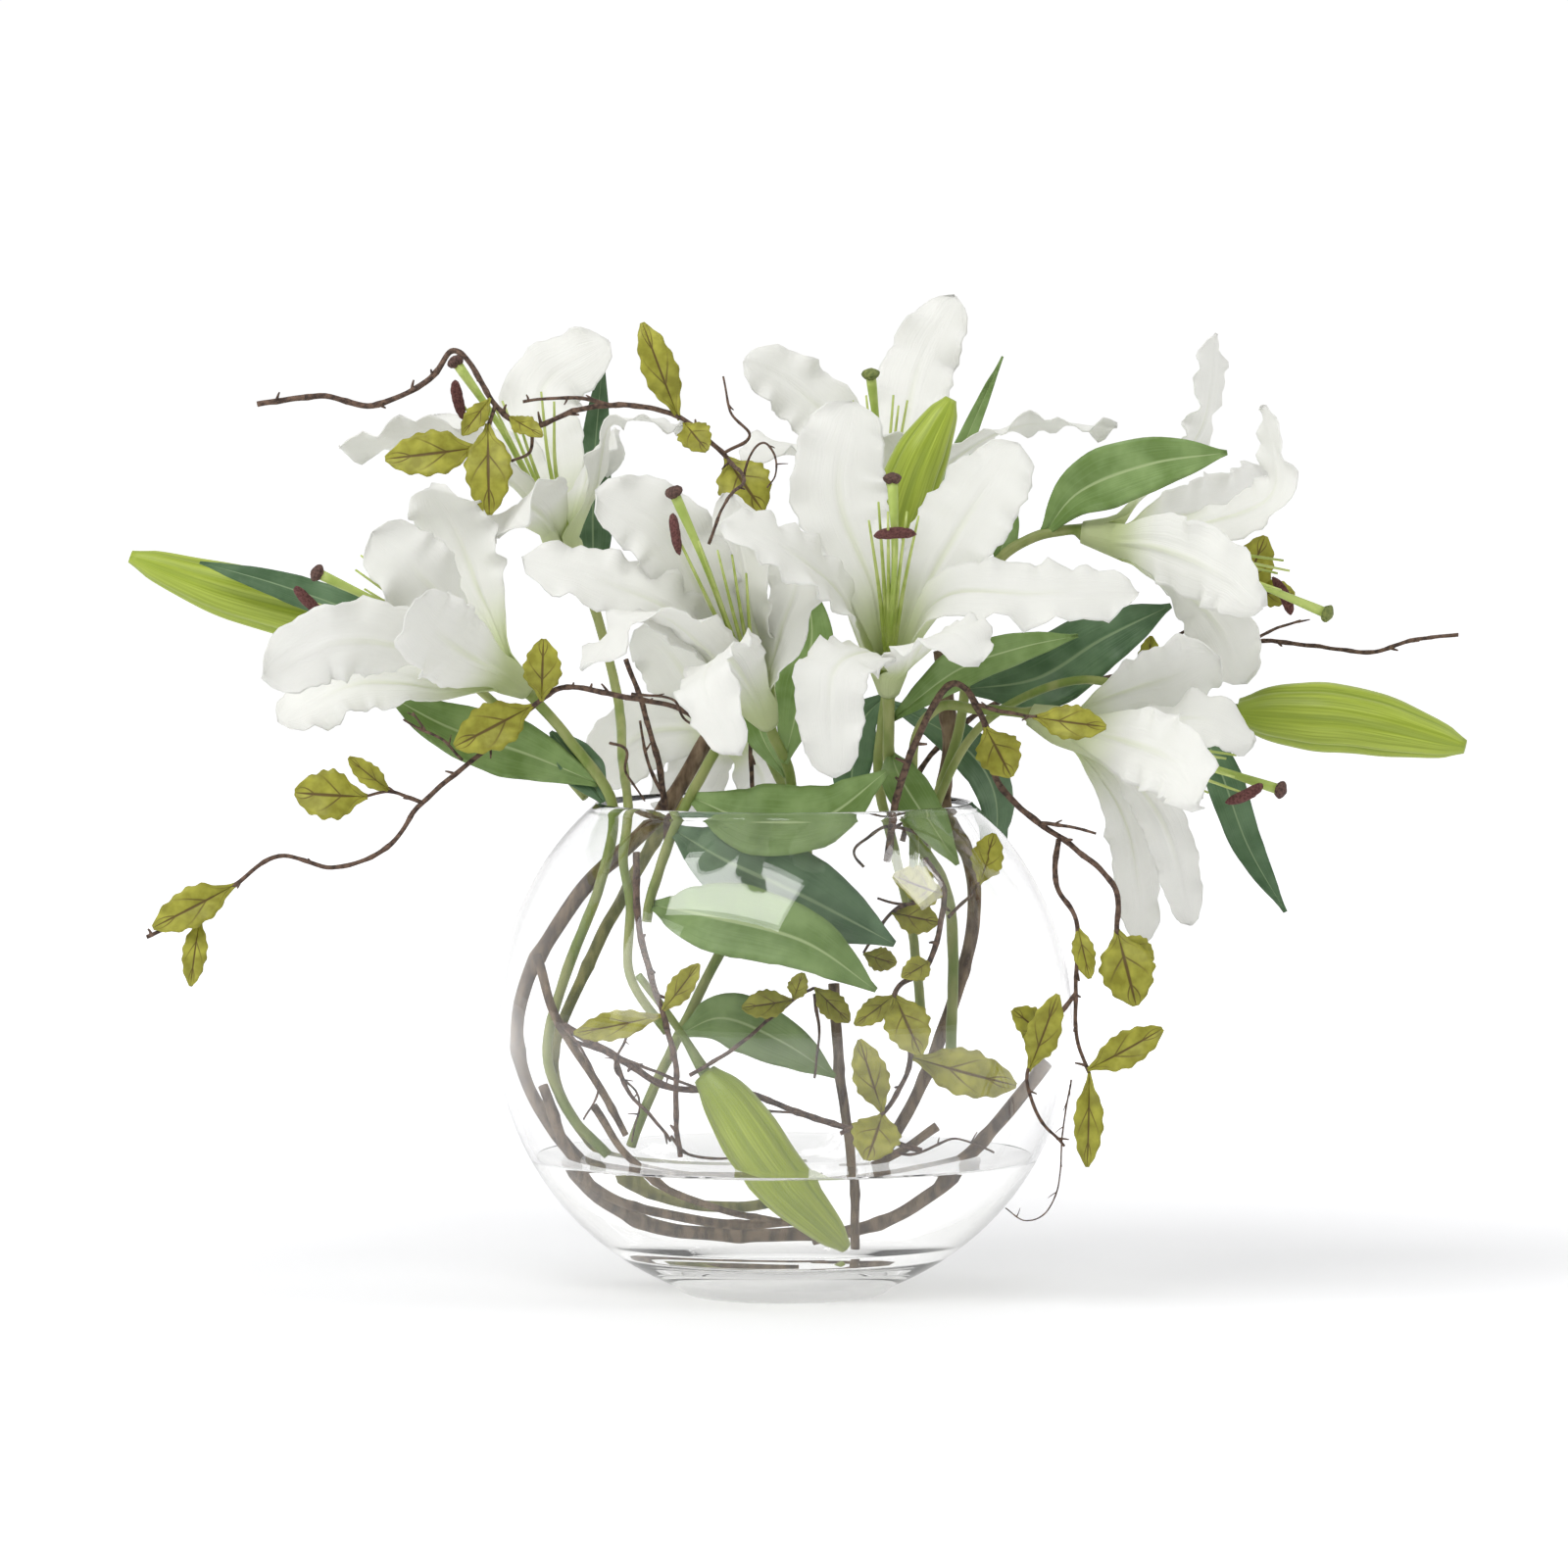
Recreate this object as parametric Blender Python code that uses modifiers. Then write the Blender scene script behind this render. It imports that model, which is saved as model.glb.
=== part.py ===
"""Eight white lilies with buds, leaves and dark curly twigs, standing in a round glass bowl of clear water.

Lengths and route points are in millimetres. X runs to the right, Y to the back and Z up, and the
origin is the middle of the bowl's foot. Every route point was chosen by hand.
"""

import math

import bmesh
import bpy
from mathutils import Vector

MM = 0.001

# The blown glass bowl: two half ellipses that meet at its widest ring
BOWL_RADIUS = 125.0
WIDEST_HEIGHT = 117.0
LOWER_REACH = 122.0
UPPER_REACH = 127.2
MOUTH_HEIGHT = 213.0
FOOT_RADIUS = 42.0
WALL = 3.5
RIM_WALL = 2.6
BASE_THICKNESS = 14.0
ROUND_STEPS = 32
WATER_LEVEL = 60.0
CLEARANCE = 0.4

# Lily bloom
TUBE_LENGTH = 13.0
OUTER_TUBE = (4.6, 8.4)
INNER_TUBE = (3.0, 5.2)
INNER_LIFT = 2.2
TEPAL_THICKNESS = 0.9
TEPAL_ROWS = 5
TEPAL_OUTLINE = ((0.0, 0.36), (0.2, 0.5), (0.4, 0.88), (0.6, 1.0), (0.8, 0.88), (1.0, 0.3))
FILAMENT_RADIUS = 0.65
STYLE_RADIUS = 1.1

# Greenery
LEAF_OUTLINE = ((0.0, 0.1), (0.2, 0.6), (0.4, 1.0), (0.66, 0.84), (0.85, 0.5), (1.0, 0.06))
LEAF_THICKNESS = 0.8
BUD_OUTLINE = ((0.0, 0.42), (0.12, 0.75), (0.35, 1.0), (0.65, 0.86), (0.9, 0.5), (1.0, 0.22))

# Each bloom: where its tube begins, the way it faces, where style and stigma go, the filament tips
# it has (the last one carries the anther), the way that anther lies, and six tepals in order round the
# tube, outer and inner by turns: width, three points and, where the blade turns its face to the front,
# how far (0 to 1).
LILIES = {
    "left": {
        "base": (-111, -10, 263),
        "axis": (-0.74, -0.45, 0.5),
        "style": ((-150, -36, 290), (-198, -50, 314)),
        "tips": ((-181, -44, 322), (-183, -50, 316), (-179, -54, 308), (-184, -34, 306), (-170, -48, 303),
                 (-204, -48, 303)),
        "anther": (0.7, 0.0, -0.7),
        "tepals": (
            (32, (-145, -19, 265), (-183, -24, 267), (-217, -34, 250), 0.3),
            (36, (-147, -44, 278), (-188, -66, 286), (-222, -74, 271), 0.8),
            (38, (-136, -51, 280), (-150, -76, 292), (-156, -90, 305)),
            (38, (-139, -36, 296), (-160, -50, 318), (-176, -52, 332), 0.7),
            (38, (-131, -4, 301), (-142, -2, 330), (-153, -14, 350), 0.4),
            (36, (-136, 24, 288), (-159, 48, 304), (-172, 72, 312)),
        ),
    },
    "back_left": {
        "base": (-90, 55, 313),
        "axis": (-0.5, -0.25, 0.83),
        "style": ((-122, 42, 372), (-142, 40, 402)),
        "tips": ((-128, 34, 388), (-123, 52, 386), (-116, 30, 380), (-106, 52, 390), (-100, 36, 386),
                 (-142, 34, 388)),
        "anther": (0.2, 0.2, -0.95),
        "tepals": (
            (30, (-113, 36, 348), (-149, 30, 371), (-193, 26, 366), 0.3),
            (38, (-104, 30, 335), (-114, 8, 342), (-123, -6, 328)),
            (24, (-84, 42, 350), (-75, 34, 378), (-44, 34, 376)),
            (34, (-86, 68, 349), (-84, 90, 362), (-80, 106, 352)),
            (36, (-100, 80, 353), (-107, 102, 390), (-77, 104, 411), 0.5),
            (36, (-114, 62, 351), (-138, 72, 370), (-153, 84, 379)),
        ),
    },
    "front_left": {
        "base": (-7, -18, 249),
        "axis": (-0.3, -0.72, 0.62),
        "style": ((-32, -82, 316), (-46, -94, 349)),
        "tips": ((-43, -100, 328), (-36, -104, 330), (-28, -102, 326), (-22, -98, 324), (-16, -94, 316),
                 (-46, -102, 334)),
        "anther": (0.15, 0.1, -0.98),
        "tepals": (
            (34, (-40, -72, 294), (-73, -88, 312), (-111, -90, 323)),
            (38, (-37, -88, 286), (-60, -112, 299), (-85, -122, 276)),
            (32, (-24, -102, 282), (-34, -140, 273), (-19, -148, 242)),
            (34, (0, -62, 291), (6, -57, 312), (0, -54, 334), 0.4),
            (30, (-16, -58, 302), (-21, -62, 328), (-25, -58, 349)),
            (38, (-35, -58, 304), (-52, -76, 335), (-80, -84, 350)),
        ),
    },
    "front_right": {
        "base": (45, -26, 263),
        "axis": (0.0, -0.6, 0.8),
        "style": ((47, -74, 322), (46, -76, 354)),
        "tips": ((40, -88, 346), (44, -92, 342), (52, -90, 342), (57, -84, 340), (36, -80, 338), (47, -84, 333)),
        "anther": (1.0, 0.0, 0.05),
        "tepals": (
            (34, (26, -66, 306), (0, -96, 328), (-26, -106, 338)),
            (32, (34, -86, 281), (20, -116, 273), (21, -120, 231)),
            (36, (58, -89, 288), (73, -116, 292), (83, -124, 280)),
            (36, (69, -62, 304), (106, -68, 306), (151, -62, 307)),
            (40, (60, -38, 308), (80, -32, 341), (101, -20, 369)),
            (44, (37, -43, 308), (23, -38, 348), (30, -18, 387)),
        ),
    },
    "top": {
        "base": (45, 58, 306),
        "axis": (-0.1, -0.1, 0.98),
        "style": ((42, 60, 360), (38, 52, 396)),
        "tips": ((33, 48, 384), (30, 60, 386), (36, 72, 388), (48, 76, 388), (54, 64, 386), (50, 50, 384)),
        "anther": (0.4, -0.9, 0.1),
        "tepals": (
            (32, (26, 65, 368), (5, 62, 392), (-17, 54, 404), 0.7),
            (32, (21, 45, 350), (-2, 28, 368), (-15, 14, 359)),
            (30, (42, 34, 347), (44, 26, 366), (42, 22, 372)),
            (24, (66, 54, 352), (102, 48, 374), (145, 42, 374)),
            (34, (60, 84, 350), (78, 104, 364), (92, 118, 352)),
            (34, (52, 94, 366), (60, 118, 400), (76, 126, 431), 0.3),
        ),
    },
    "right": {
        "base": (129, 12, 330),
        "axis": (0.96, -0.12, -0.12),
        "style": ((180, 4, 318), (233, -2, 296)),
        "tips": ((214, 16, 312), (216, 4, 318), (218, -8, 314), (214, -16, 306), (206, -2, 300), (217, 10, 302)),
        "anther": (0.43, -0.1, -0.9),
        "tepals": (
            (36, (161, -25, 325), (186, -46, 315), (204, -56, 300)),
            (33, (157, 1, 314), (184, -1, 294), (200, -1, 265), 0.6),
            (34, (161, 36, 318), (190, 58, 305), (204, 74, 284)),
            (34, (163, 49, 334), (194, 80, 340), (212, 102, 352)),
            (22, (158, 28, 347), (182, 36, 373), (187, 26, 416), 0.35),
            (25, (184, -10, 336), (210, -21, 350), (206, -28, 386), 0.25),
        ),
    },
    "low_right": {
        "base": (106, -28, 253),
        "axis": (0.9, -0.2, -0.34),
        "style": ((160, -36, 238), (211, -44, 222)),
        "tips": ((190, -28, 234), (194, -38, 236), (186, -58, 236), (192, -62, 228), (182, -40, 220),
                 (198, -52, 220)),
        "anther": (0.88, -0.1, 0.45),
        "tepals": (
            (20, (143, -44, 233), (163, -58, 206), (174, -54, 164), 1.0),
            (21, (130, -22, 232), (148, -18, 202), (155, -16, 153), 0.8),
            (34, (140, 7, 242), (166, 34, 232), (183, 52, 213)),
            (38, (135, -22, 260), (165, -22, 269), (187, -26, 278), 0.5),
            (34, (147, -45, 248), (178, -54, 252), (201, -54, 242), 0.3),
            (36, (144, -67, 244), (166, -100, 236), (175, -114, 219)),
        ),
    },
    "rear": {
        "base": (-15, 52, 243),
        "axis": (-0.55, 0.8, -0.1),
        "style": ((-40, 108, 240), (-62, 140, 232)),
        "tips": ((-66, 112, 250), (-58, 130, 256), (-46, 140, 254), (-36, 138, 238), (-46, 126, 224),
                 (-60, 120, 226)),
        "anther": (0.6, 0.3, 0.7),
        "tepals": (
            (32, (-16, 84, 230), (-10, 110, 216), (-14, 132, 205)),
            (32, (-32, 78, 226), (-44, 98, 212), (-52, 112, 203)),
            (34, (-42, 74, 242), (-64, 82, 238), (-84, 86, 218)),
            (34, (-38, 76, 258), (-52, 86, 276), (-66, 92, 284)),
            (34, (-22, 96, 259), (-28, 122, 280), (-34, 142, 288)),
            (34, (-6, 100, 250), (2, 136, 256), (8, 166, 248)),
        ),
    },
}

# Stems: radius, then the route from the flower down. Leaves: width, then root to tip.
STEMS = {
    "left": (2.4, ((-107, -7, 258), (-93, -2, 241), (-74, -10, 213), (-79, -13, 179), (-95, -13, 137),
                   (-102, -12, 105), (-92, -10, 79), (-76, -8, 62))),
    "back_left": (2.2, ((-88, 55, 308), (-80, 48, 287), (-72, 38, 254), (-70, 10, 232), (-67, -17, 211),
                        (-69, -24, 190), (-66, -25, 170), (-66, -30, 140), (-50, -34, 116))),
    "front_left": (2.4, ((-5, -12, 244), (3, -6, 222), (-2, -8, 188), (-25, -14, 153), (-46, -16, 112),
                         (-58, -14, 87), (-66, -10, 66))),
    "front_right": (2.6, ((45, -22, 257), (46, -16, 227), (55, -12, 201), (69, -10, 178), (73, -10, 150),
                          (72, -10, 105))),
    "top": (2.4, ((45, 57, 300), (45, 50, 262), (41, 40, 224), (48, 34, 190), (56, 28, 155), (60, 20, 114))),
    "right": (2.4, ((123, 12, 331), (106, 12, 327), (91, 12, 315), (81, 12, 285), (76, 6, 246), (64, 6, 208),
                    (60, 4, 178))),
    "low_right": (2.3, ((100, -27, 254), (84, -24, 255), (67, -22, 256), (56, -23, 240), (56, -25, 202),
                        (55, -26, 168))),
    "rear": (2.3, ((-12, 46, 241), (-2, 32, 222), (8, 22, 199), (14, 8, 165))),
    "leafy": (2.4, ((-30, -16, 236), (-42, -22, 214), (-50, -26, 195), (-57, -28, 174), (-59, -29, 163))),
}
LEAVES = {
    "left": ((28, (-80, -6, 222), (-110, 0, 234), (-144, -6, 246), (-172, -10, 261)),
             (19, (-78, -8, 214), (-87, 0, 228), (-101, 4, 244))),
    "back_left": ((18, (-82, 50, 292), (-84, 84, 320), (-84, 112, 357), (-80, 114, 404)),),
    "front_left": ((24, (0, -10, 231), (6, -6, 256), (12, -2, 285), (9, 2, 311)),
                   (16, (1, -7, 225), (-10, 6, 243), (-14, 10, 266), (-4, 6, 288)),
                   (25, (-45, -17, 114), (-26, -32, 122), (0, -38, 112), (22, -36, 98))),
    "front_right": ((18, (46, -18, 250), (74, -32, 272), (101, -36, 282), (126, -32, 287)),
                    (20, (46, -16, 236), (50, -36, 226), (62, -40, 207), (74, -36, 188))),
    "top": ((20, (45, 47, 255), (76, 34, 238), (92, 46, 214), (92, 70, 176)),
            (22, (45, 48, 258), (34, 58, 245), (30, 62, 225), (30, 58, 200))),
    "right": ((28, (112, 12, 329), (128, 4, 348), (158, -4, 360), (191, -8, 365)),
              (12, (92, 12, 316), (96, 18, 329), (99, 22, 344)),
              (33, (77, 8, 262), (110, 26, 266), (138, 24, 283), (168, 20, 298))),
    "bud right": ((17, (168, 12, 257), (185, 2, 236), (200, 0, 196), (217, 0, 166)),),
    "bud left": ((16, (-147, 36, 271), (-176, 14, 291), (-215, 11, 306), (-253, 12, 317)),),
    "leafy": ((36, (-40, -21, 217), (-13, -42, 208), (17, -50, 210), (44, -54, 230)),
              (40, (-47, -25, 202), (-24, -46, 190), (8, -56, 176), (47, -62, 156)),
              (34, (-56, -29, 170), (-33, -60, 168), (8, -72, 158), (39, -70, 137))),
}
# Buds: stem radius, stem route from the bowl up, bud width, route from its base to its tip
BUDS = {
    "left": (2.0, ((-86, 12, 215), (-110, 28, 240), (-142, 36, 268), (-171, 36, 285)), 28,
             ((-168, 36, 283), (-203, 34, 294), (-245, 30, 305), (-284, 26, 319))),
    "right": (1.9, ((58, -6, 172), (64, -4, 206), (78, -3, 238), (98, 2, 256), (130, 13, 266), (165, 14, 258),
                    (200, 8, 252)), 31,
              ((197, 8, 252), (222, 4, 251), (252, 0, 248), (294, -8, 238))),
    "top": (1.8, ((44, 4, 262), (45, 2, 290), (47, 2, 326)), 27,
            ((46, 2, 322), (50, 2, 336), (58, 0, 360), (72, -2, 388))),
    "bowl": (1.7, ((-62, -52, 142), (-46, -46, 120), (-32, -50, 98)), 27,
             ((-34, -49, 100), (-24, -51, 88), (-4, -50, 59), (26, -38, 27))),
}
# Thick brown vines: radius, route
VINES = {
    "long": (3.5, ((-28, 6, 250), (-55, 6, 206), (-85, 4, 177), (-108, 2, 143), (-116, 2, 115), (-111, 2, 90),
                   (-96, 6, 66), (-79, 16, 46), (-54, 26, 32), (-20, 32, 28), (17, 28, 29))),
    "second": (2.8, ((-44, 24, 214), (-66, 18, 178), (-88, 16, 135), (-101, 16, 101), (-90, 22, 71),
                     (-62, 40, 47), (-22, 46, 38), (10, 44, 44))),
    "right": (3.3, ((68, 16, 278), (72, 20, 240), (70, 20, 212), (81, 12, 185), (82, 10, 161), (74, 4, 128),
                    (59, 0, 90), (40, 0, 56))),
    "rising": (3.2, ((114, 0, 101), (98, 4, 80), (76, 8, 57), (45, 12, 36), (12, 4, 28))),
    "upright": (2.4, ((21, -24, 136), (24, -22, 100), (29, -20, 58), (30, -13, 25))),
    "crossing": (2.0, ((-106, -24, 149), (-97, -27, 121), (-80, -26, 94), (-68, -24, 72))),
}
# Curly twigs: a list of (radius, route), the main one first, then small leaves as (width, root, tip)
TWIGS = {
    "top_left": (
        ((1.3, ((-228, 16, 385), (-201, 16, 389), (-178, 16, 385), (-155, 14, 395), (-144, 14, 408), (-135, 14, 402),
                (-124, 14, 384), (-109, 10, 376), (-86, -4, 384), (-62, -9, 385), (-43, -8, 379), (-26, -8, 364),
                (-18, -4, 351), (-20, 2, 330), (-18, 12, 290), (-15, 18, 245), (-13, 20, 205))),
         (1.0, ((-18, -5, 352), (-26, -12, 342), (-31, -14, 330))),
         (1.0, ((-125, 14, 386), (-128, 8, 376), (-131, 2, 366))),
         (1.0, ((-72, -8, 385), (-91, -12, 389), (-112, -14, 387))),
         (0.9, ((-109, 10, 376), (-110, 3, 365), (-118, 0, 361))),
         (0.8, ((-27, -8, 364), (-15, -14, 372), (-23, -16, 383), (-26, -16, 398)))),
        ((16, (-45, -8, 379), (-61, -12, 421)), (15, (-43, -8, 378), (-33, -20, 366)),
         (24, (-25, -8, 363), (-9, -20, 340)), (21, (-131, 2, 367), (-172, -4, 362)),
         (21, (-128, 8, 377), (-127, -8, 338)), (10, (-119, 13, 380), (-104, -4, 372))),
    ),
    "stub": (
        ((1.5, ((-50, -6, 196), (-54, -8, 230), (-61, -10, 256), (-68, -14, 276))),
         (0.9, ((-52, -7, 216), (-59, -14, 233), (-62, -20, 250)))),
        (),
    ),
    "left": (
        ((1.2, ((-31, -48, 248), (-46, -50, 257), (-67, -44, 261), (-93, -34, 265), (-106, -32, 258),
                (-126, -36, 240), (-155, -44, 216), (-170, -50, 197), (-193, -54, 189), (-216, -56, 194),
                (-234, -60, 182), (-251, -64, 169), (-272, -66, 160))),
         (1.0, ((-155, -44, 216), (-168, -50, 221), (-180, -52, 219)))),
        ((17, (-104, -33, 259), (-103, -38, 286)), (22, (-108, -33, 257), (-141, -44, 240)),
         (23, (-178, -52, 219), (-209, -56, 221)), (10, (-168, -50, 221), (-186, -56, 236)),
         (18, (-234, -60, 182), (-269, -68, 164)), (11, (-249, -64, 169), (-253, -68, 139))),
    ),
    "drooping": (
        ((1.6, ((44, -46, 190), (50, -52, 226), (66, -54, 262), (77, -54, 266), (86, -52, 249), (91, -50, 226),
                (105, -53, 211), (126, -59, 196), (141, -63, 181), (142, -63, 160))),
         (1.2, ((117, -57, 201), (116, -64, 183), (125, -70, 165), (124, -73, 138), (125, -75, 117),
                (130, -77, 103))),
         (1.0, ((82, -54, 259), (92, -60, 256), (108, -68, 254))),
         (0.9, ((109, -55, 208), (122, -62, 207), (133, -65, 204))),
         (1.0, ((124, -73, 136), (110, -80, 118), (103, -84, 101), (109, -86, 84), (119, -84, 72)))),
        ((20, (86, -53, 249), (97, -62, 228)), (16, (106, -67, 254), (137, -74, 250)),
         (24, (142, -63, 163), (150, -72, 131)), (12, (142, -63, 160), (158, -60, 150)),
         (10, (125, -70, 165), (130, -78, 143)), (16, (129, -77, 104), (161, -82, 122)),
         (13, (130, -77, 103), (129, -82, 63)), (15, (111, -79, 119), (97, -92, 131)),
         (15, (104, -83, 104), (116, -98, 138))),
    ),
    "far_right": (
        ((1.2, ((52, 50, 192), (60, 54, 225), (90, 62, 252), (130, 74, 262), (176, 78, 270), (204, 66, 280),
                (234, 44, 279), (255, 36, 277), (276, 30, 283), (293, 26, 285))),
         (0.9, ((202, 67, 279), (214, 54, 286), (226, 50, 290)))),
        (),
    ),
    "bowl_left": (
        ((1.5, ((-63, -44, 194), (-62, -48, 165), (-56, -56, 140), (-50, -64, 122), (-46, -68, 104), (-46, -66, 84),
                (-44, -62, 66))),),
        ((13, (-51, -62, 126), (-89, -58, 118)), (11, (-52, -62, 127), (-36, -66, 148))),
    ),
    "bowl_right": (
        ((1.4, ((60, -54, 192), (68, -48, 176), (62, -52, 148), (47, -56, 134), (54, -56, 108), (42, -58, 84),
                (24, -60, 76))),
         (0.9, ((68, -48, 176), (52, -46, 172), (40, -42, 174)))),
        ((18, (68, -48, 176), (46, -72, 186)), (11, (62, -52, 148), (50, -66, 142)),
         (20, (47, -56, 134), (58, -72, 110)), (21, (54, -56, 108), (98, -58, 96)),
         (16, (42, -58, 84), (32, -66, 116)), (22, (42, -58, 84), (35, -76, 66)),
         (11, (47, -56, 134), (30, -66, 122))),
    ),
    "bowl_low": (
        ((1.6, ((-94, -40, 120), (-67, -44, 104), (-48, -44, 94), (-17, -36, 91), (8, -36, 82), (34, -36, 74),
                (59, -34, 66))),
         (1.0, ((-72, -43, 106), (-66, -50, 92), (-56, -54, 82), (-48, -54, 72)))),
        (),
    ),
}

FINISHES = {
    "glass": ((0.85, 0.93, 0.92), 0.03),
    "water": ((0.75, 0.88, 0.9), 0.02),
    "petal": ((0.93, 0.94, 0.88), 0.5),
    "pistil": ((0.5, 0.6, 0.2), 0.55),
    "stem": ((0.2, 0.34, 0.1), 0.5),
    "bud": ((0.36, 0.52, 0.08), 0.45),
    "vine": ((0.16, 0.11, 0.07), 0.7),
    "twig": ((0.2, 0.15, 0.06), 0.7),
}


def clear_scene():
    for obj in list(bpy.data.objects):
        bpy.data.objects.remove(obj)


def add_collections():
    shown = bpy.data.collections.new("Lilies in a vase")
    helpers = bpy.data.collections.new("Cutters and joined pieces")
    helpers.hide_render = True
    for collection in (shown, helpers):
        bpy.context.scene.collection.children.link(collection)
    return shown, helpers


def finish(node, kind):
    """Gives a node a Principled material of its own and smooth shading."""
    colour, roughness = FINISHES[kind]
    material = bpy.data.materials.new(node.name + " " + kind)
    material.use_nodes = True
    shader = material.node_tree.nodes["Principled BSDF"]
    shader.inputs["Base Color"].default_value = (*colour, 1.0)
    shader.inputs["Roughness"].default_value = roughness
    if kind in ("glass", "water"):
        shader.inputs["Transmission Weight"].default_value = 1.0
        shader.inputs["IOR"].default_value = 1.5 if kind == "glass" else 1.33
    node.data.materials.clear()
    node.data.materials.append(material)
    for face in node.data.polygons:
        face.use_smooth = True


def add_helper(obj):
    obj.hide_render = True
    obj.display_type = "WIRE"
    HELPERS.objects.link(obj)


def along(table, share):
    """Reads an outline table of (share of the length, value) at any share, in straight steps."""
    for (s0, v0), (s1, v1) in zip(table, table[1:]):
        if share <= s1:
            return v0 + (v1 - v0) * (share - s0) / (s1 - s0)
    return table[-1][1]


def smooth_route(route, steps):
    """Catmull-Rom points through a route, in millimetres."""
    points = [Vector(point) for point in route]
    ends = [2 * points[0] - points[1]] + points + [2 * points[-1] - points[-2]]
    out = []
    for i in range(1, len(ends) - 2):
        before, start, end, after = ends[i - 1 : i + 3]
        for k in range(steps):
            t = k / steps
            out.append(
                0.5
                * (
                    2 * start
                    + (end - before) * t
                    + (2 * before - 5 * start + 4 * end - after) * t**2
                    + (3 * start - before - 3 * end + after) * t**3
                )
            )
    out.append(points[-1])
    return out


def even_route(route, count):
    """count + 1 points spaced evenly along the smoothed route."""
    dense = smooth_route(route, 12)
    reach = [0.0]
    for a, b in zip(dense, dense[1:]):
        reach.append(reach[-1] + (b - a).length)
    out = []
    for k in range(count + 1):
        goal = reach[-1] * k / count
        i = next((j for j in range(1, len(reach)) if reach[j] >= goal - 1e-9), len(reach) - 1)
        part = (goal - reach[i - 1]) / (reach[i] - reach[i - 1])
        out.append(dense[i - 1].lerp(dense[i], part))
    return out


def carry_side(points, side):
    """The width direction at each point, carried along the route without twisting."""
    sides = []
    for i in range(len(points)):
        tangent = (points[min(i + 1, len(points) - 1)] - points[max(i - 1, 0)]).normalized()
        side = (side - side.dot(tangent) * tangent).normalized()
        sides.append((tangent, side))
    return sides


def mesh_object(name, vertices, faces, edges=()):
    mesh = bpy.data.meshes.new(name)
    mesh.from_pydata([Vector(v) * MM for v in vertices], list(edges), faces)
    mesh.update()
    return bpy.data.objects.new(name, mesh)


def tube(name, points, radii, sides):
    """A round wire through the points, as one closed mesh."""
    curve = bpy.data.curves.new(name, "CURVE")
    curve.dimensions = "3D"
    curve.bevel_depth = MM
    curve.bevel_resolution = (sides - 4) // 2
    curve.use_fill_caps = True
    spline = curve.splines.new("POLY")
    spline.points.add(len(points) - 1)
    for target, point, radius in zip(spline.points, points, radii):
        target.co = (*(Vector(point) * MM), 1.0)
        target.radius = radius
    guide = bpy.data.objects.new(name + " guide", curve)
    add_helper(guide)
    bpy.context.view_layer.update()
    mesh = bpy.data.meshes.new_from_object(guide.evaluated_get(bpy.context.evaluated_depsgraph_get()))
    bpy.data.objects.remove(guide)
    shape = bmesh.new()
    shape.from_mesh(mesh)
    bmesh.ops.remove_doubles(shape, verts=shape.verts, dist=1e-6)
    bmesh.ops.recalc_face_normals(shape, faces=shape.faces)
    shape.to_mesh(mesh)
    shape.free()
    mesh.name = name
    return bpy.data.objects.new(name, mesh)


def wire(name, route, radius, sides=6, steps=2, thin_end=0.6):
    points = smooth_route(route, steps)
    count = len(points) - 1
    radii = [radius * (1 - (1 - thin_end) * i / count) for i in range(count + 1)]
    return tube(name, points, radii, sides)


def blade(name, route, width, rows, thickness, fold):
    """A leaf: a lance outline folded a little along its midrib."""
    points = even_route(route, rows)
    side = (points[1] - points[0]).cross(Vector((0.0, -0.96, 0.28)))
    vertices = []
    for i, (point, (tangent, across)) in enumerate(zip(points, carry_side(points, side))):
        half = 0.5 * width * along(LEAF_OUTLINE, i / rows)
        up = across.cross(tangent)
        for j in (-1, 0, 1):
            vertices.append(point + across * half * j + up * half * fold * abs(j))
    faces = [
        (3 * i + j, 3 * i + j + 1, 3 * i + j + 4, 3 * i + j + 3) for i in range(rows) for j in range(2)
    ]
    leaf = mesh_object(name, vertices, faces)
    thicken(leaf, thickness)
    return leaf


def thicken(obj, thickness):
    wall = obj.modifiers.new("Thickness", "SOLIDIFY")
    wall.thickness = thickness * MM
    wall.offset = 0.0


def join(host, pieces):
    """Welds the pieces to the host with Boolean unions, so that the node is one body."""
    for piece in pieces:
        add_helper(piece)
        union = host.modifiers.new("Join " + piece.name, "BOOLEAN")
        union.operation = "UNION"
        union.solver = "EXACT"
        union.use_self = True
        union.object = piece


def show(node, kind):
    SHOWN.objects.link(node)
    finish(node, kind)


def ellipse_radius(height, radius, lower, upper):
    reach = lower if height < WIDEST_HEIGHT else upper
    return radius * math.sqrt(max(0.0, 1 - ((height - WIDEST_HEIGHT) / reach) ** 2))


def inner_radius(height):
    shrink = WALL + (RIM_WALL - WALL) * max(0.0, height - WIDEST_HEIGHT) / (MOUTH_HEIGHT - WIDEST_HEIGHT)
    return ellipse_radius(height, BOWL_RADIUS, LOWER_REACH, UPPER_REACH) - shrink


def lathe(name, profile):
    """Turns a profile of (radius, height), listed down its outer side, into a round closed body."""
    edges = [(i, i + 1) for i in range(len(profile) - 1)]
    body = mesh_object(name, [(r, 0.0, z) for r, z in profile], [], edges)
    turn = body.modifiers.new("Turn", "SCREW")
    turn.steps = ROUND_STEPS
    turn.render_steps = ROUND_STEPS
    turn.use_merge_vertices = True
    turn.merge_threshold = 1e-5
    return body


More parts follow.
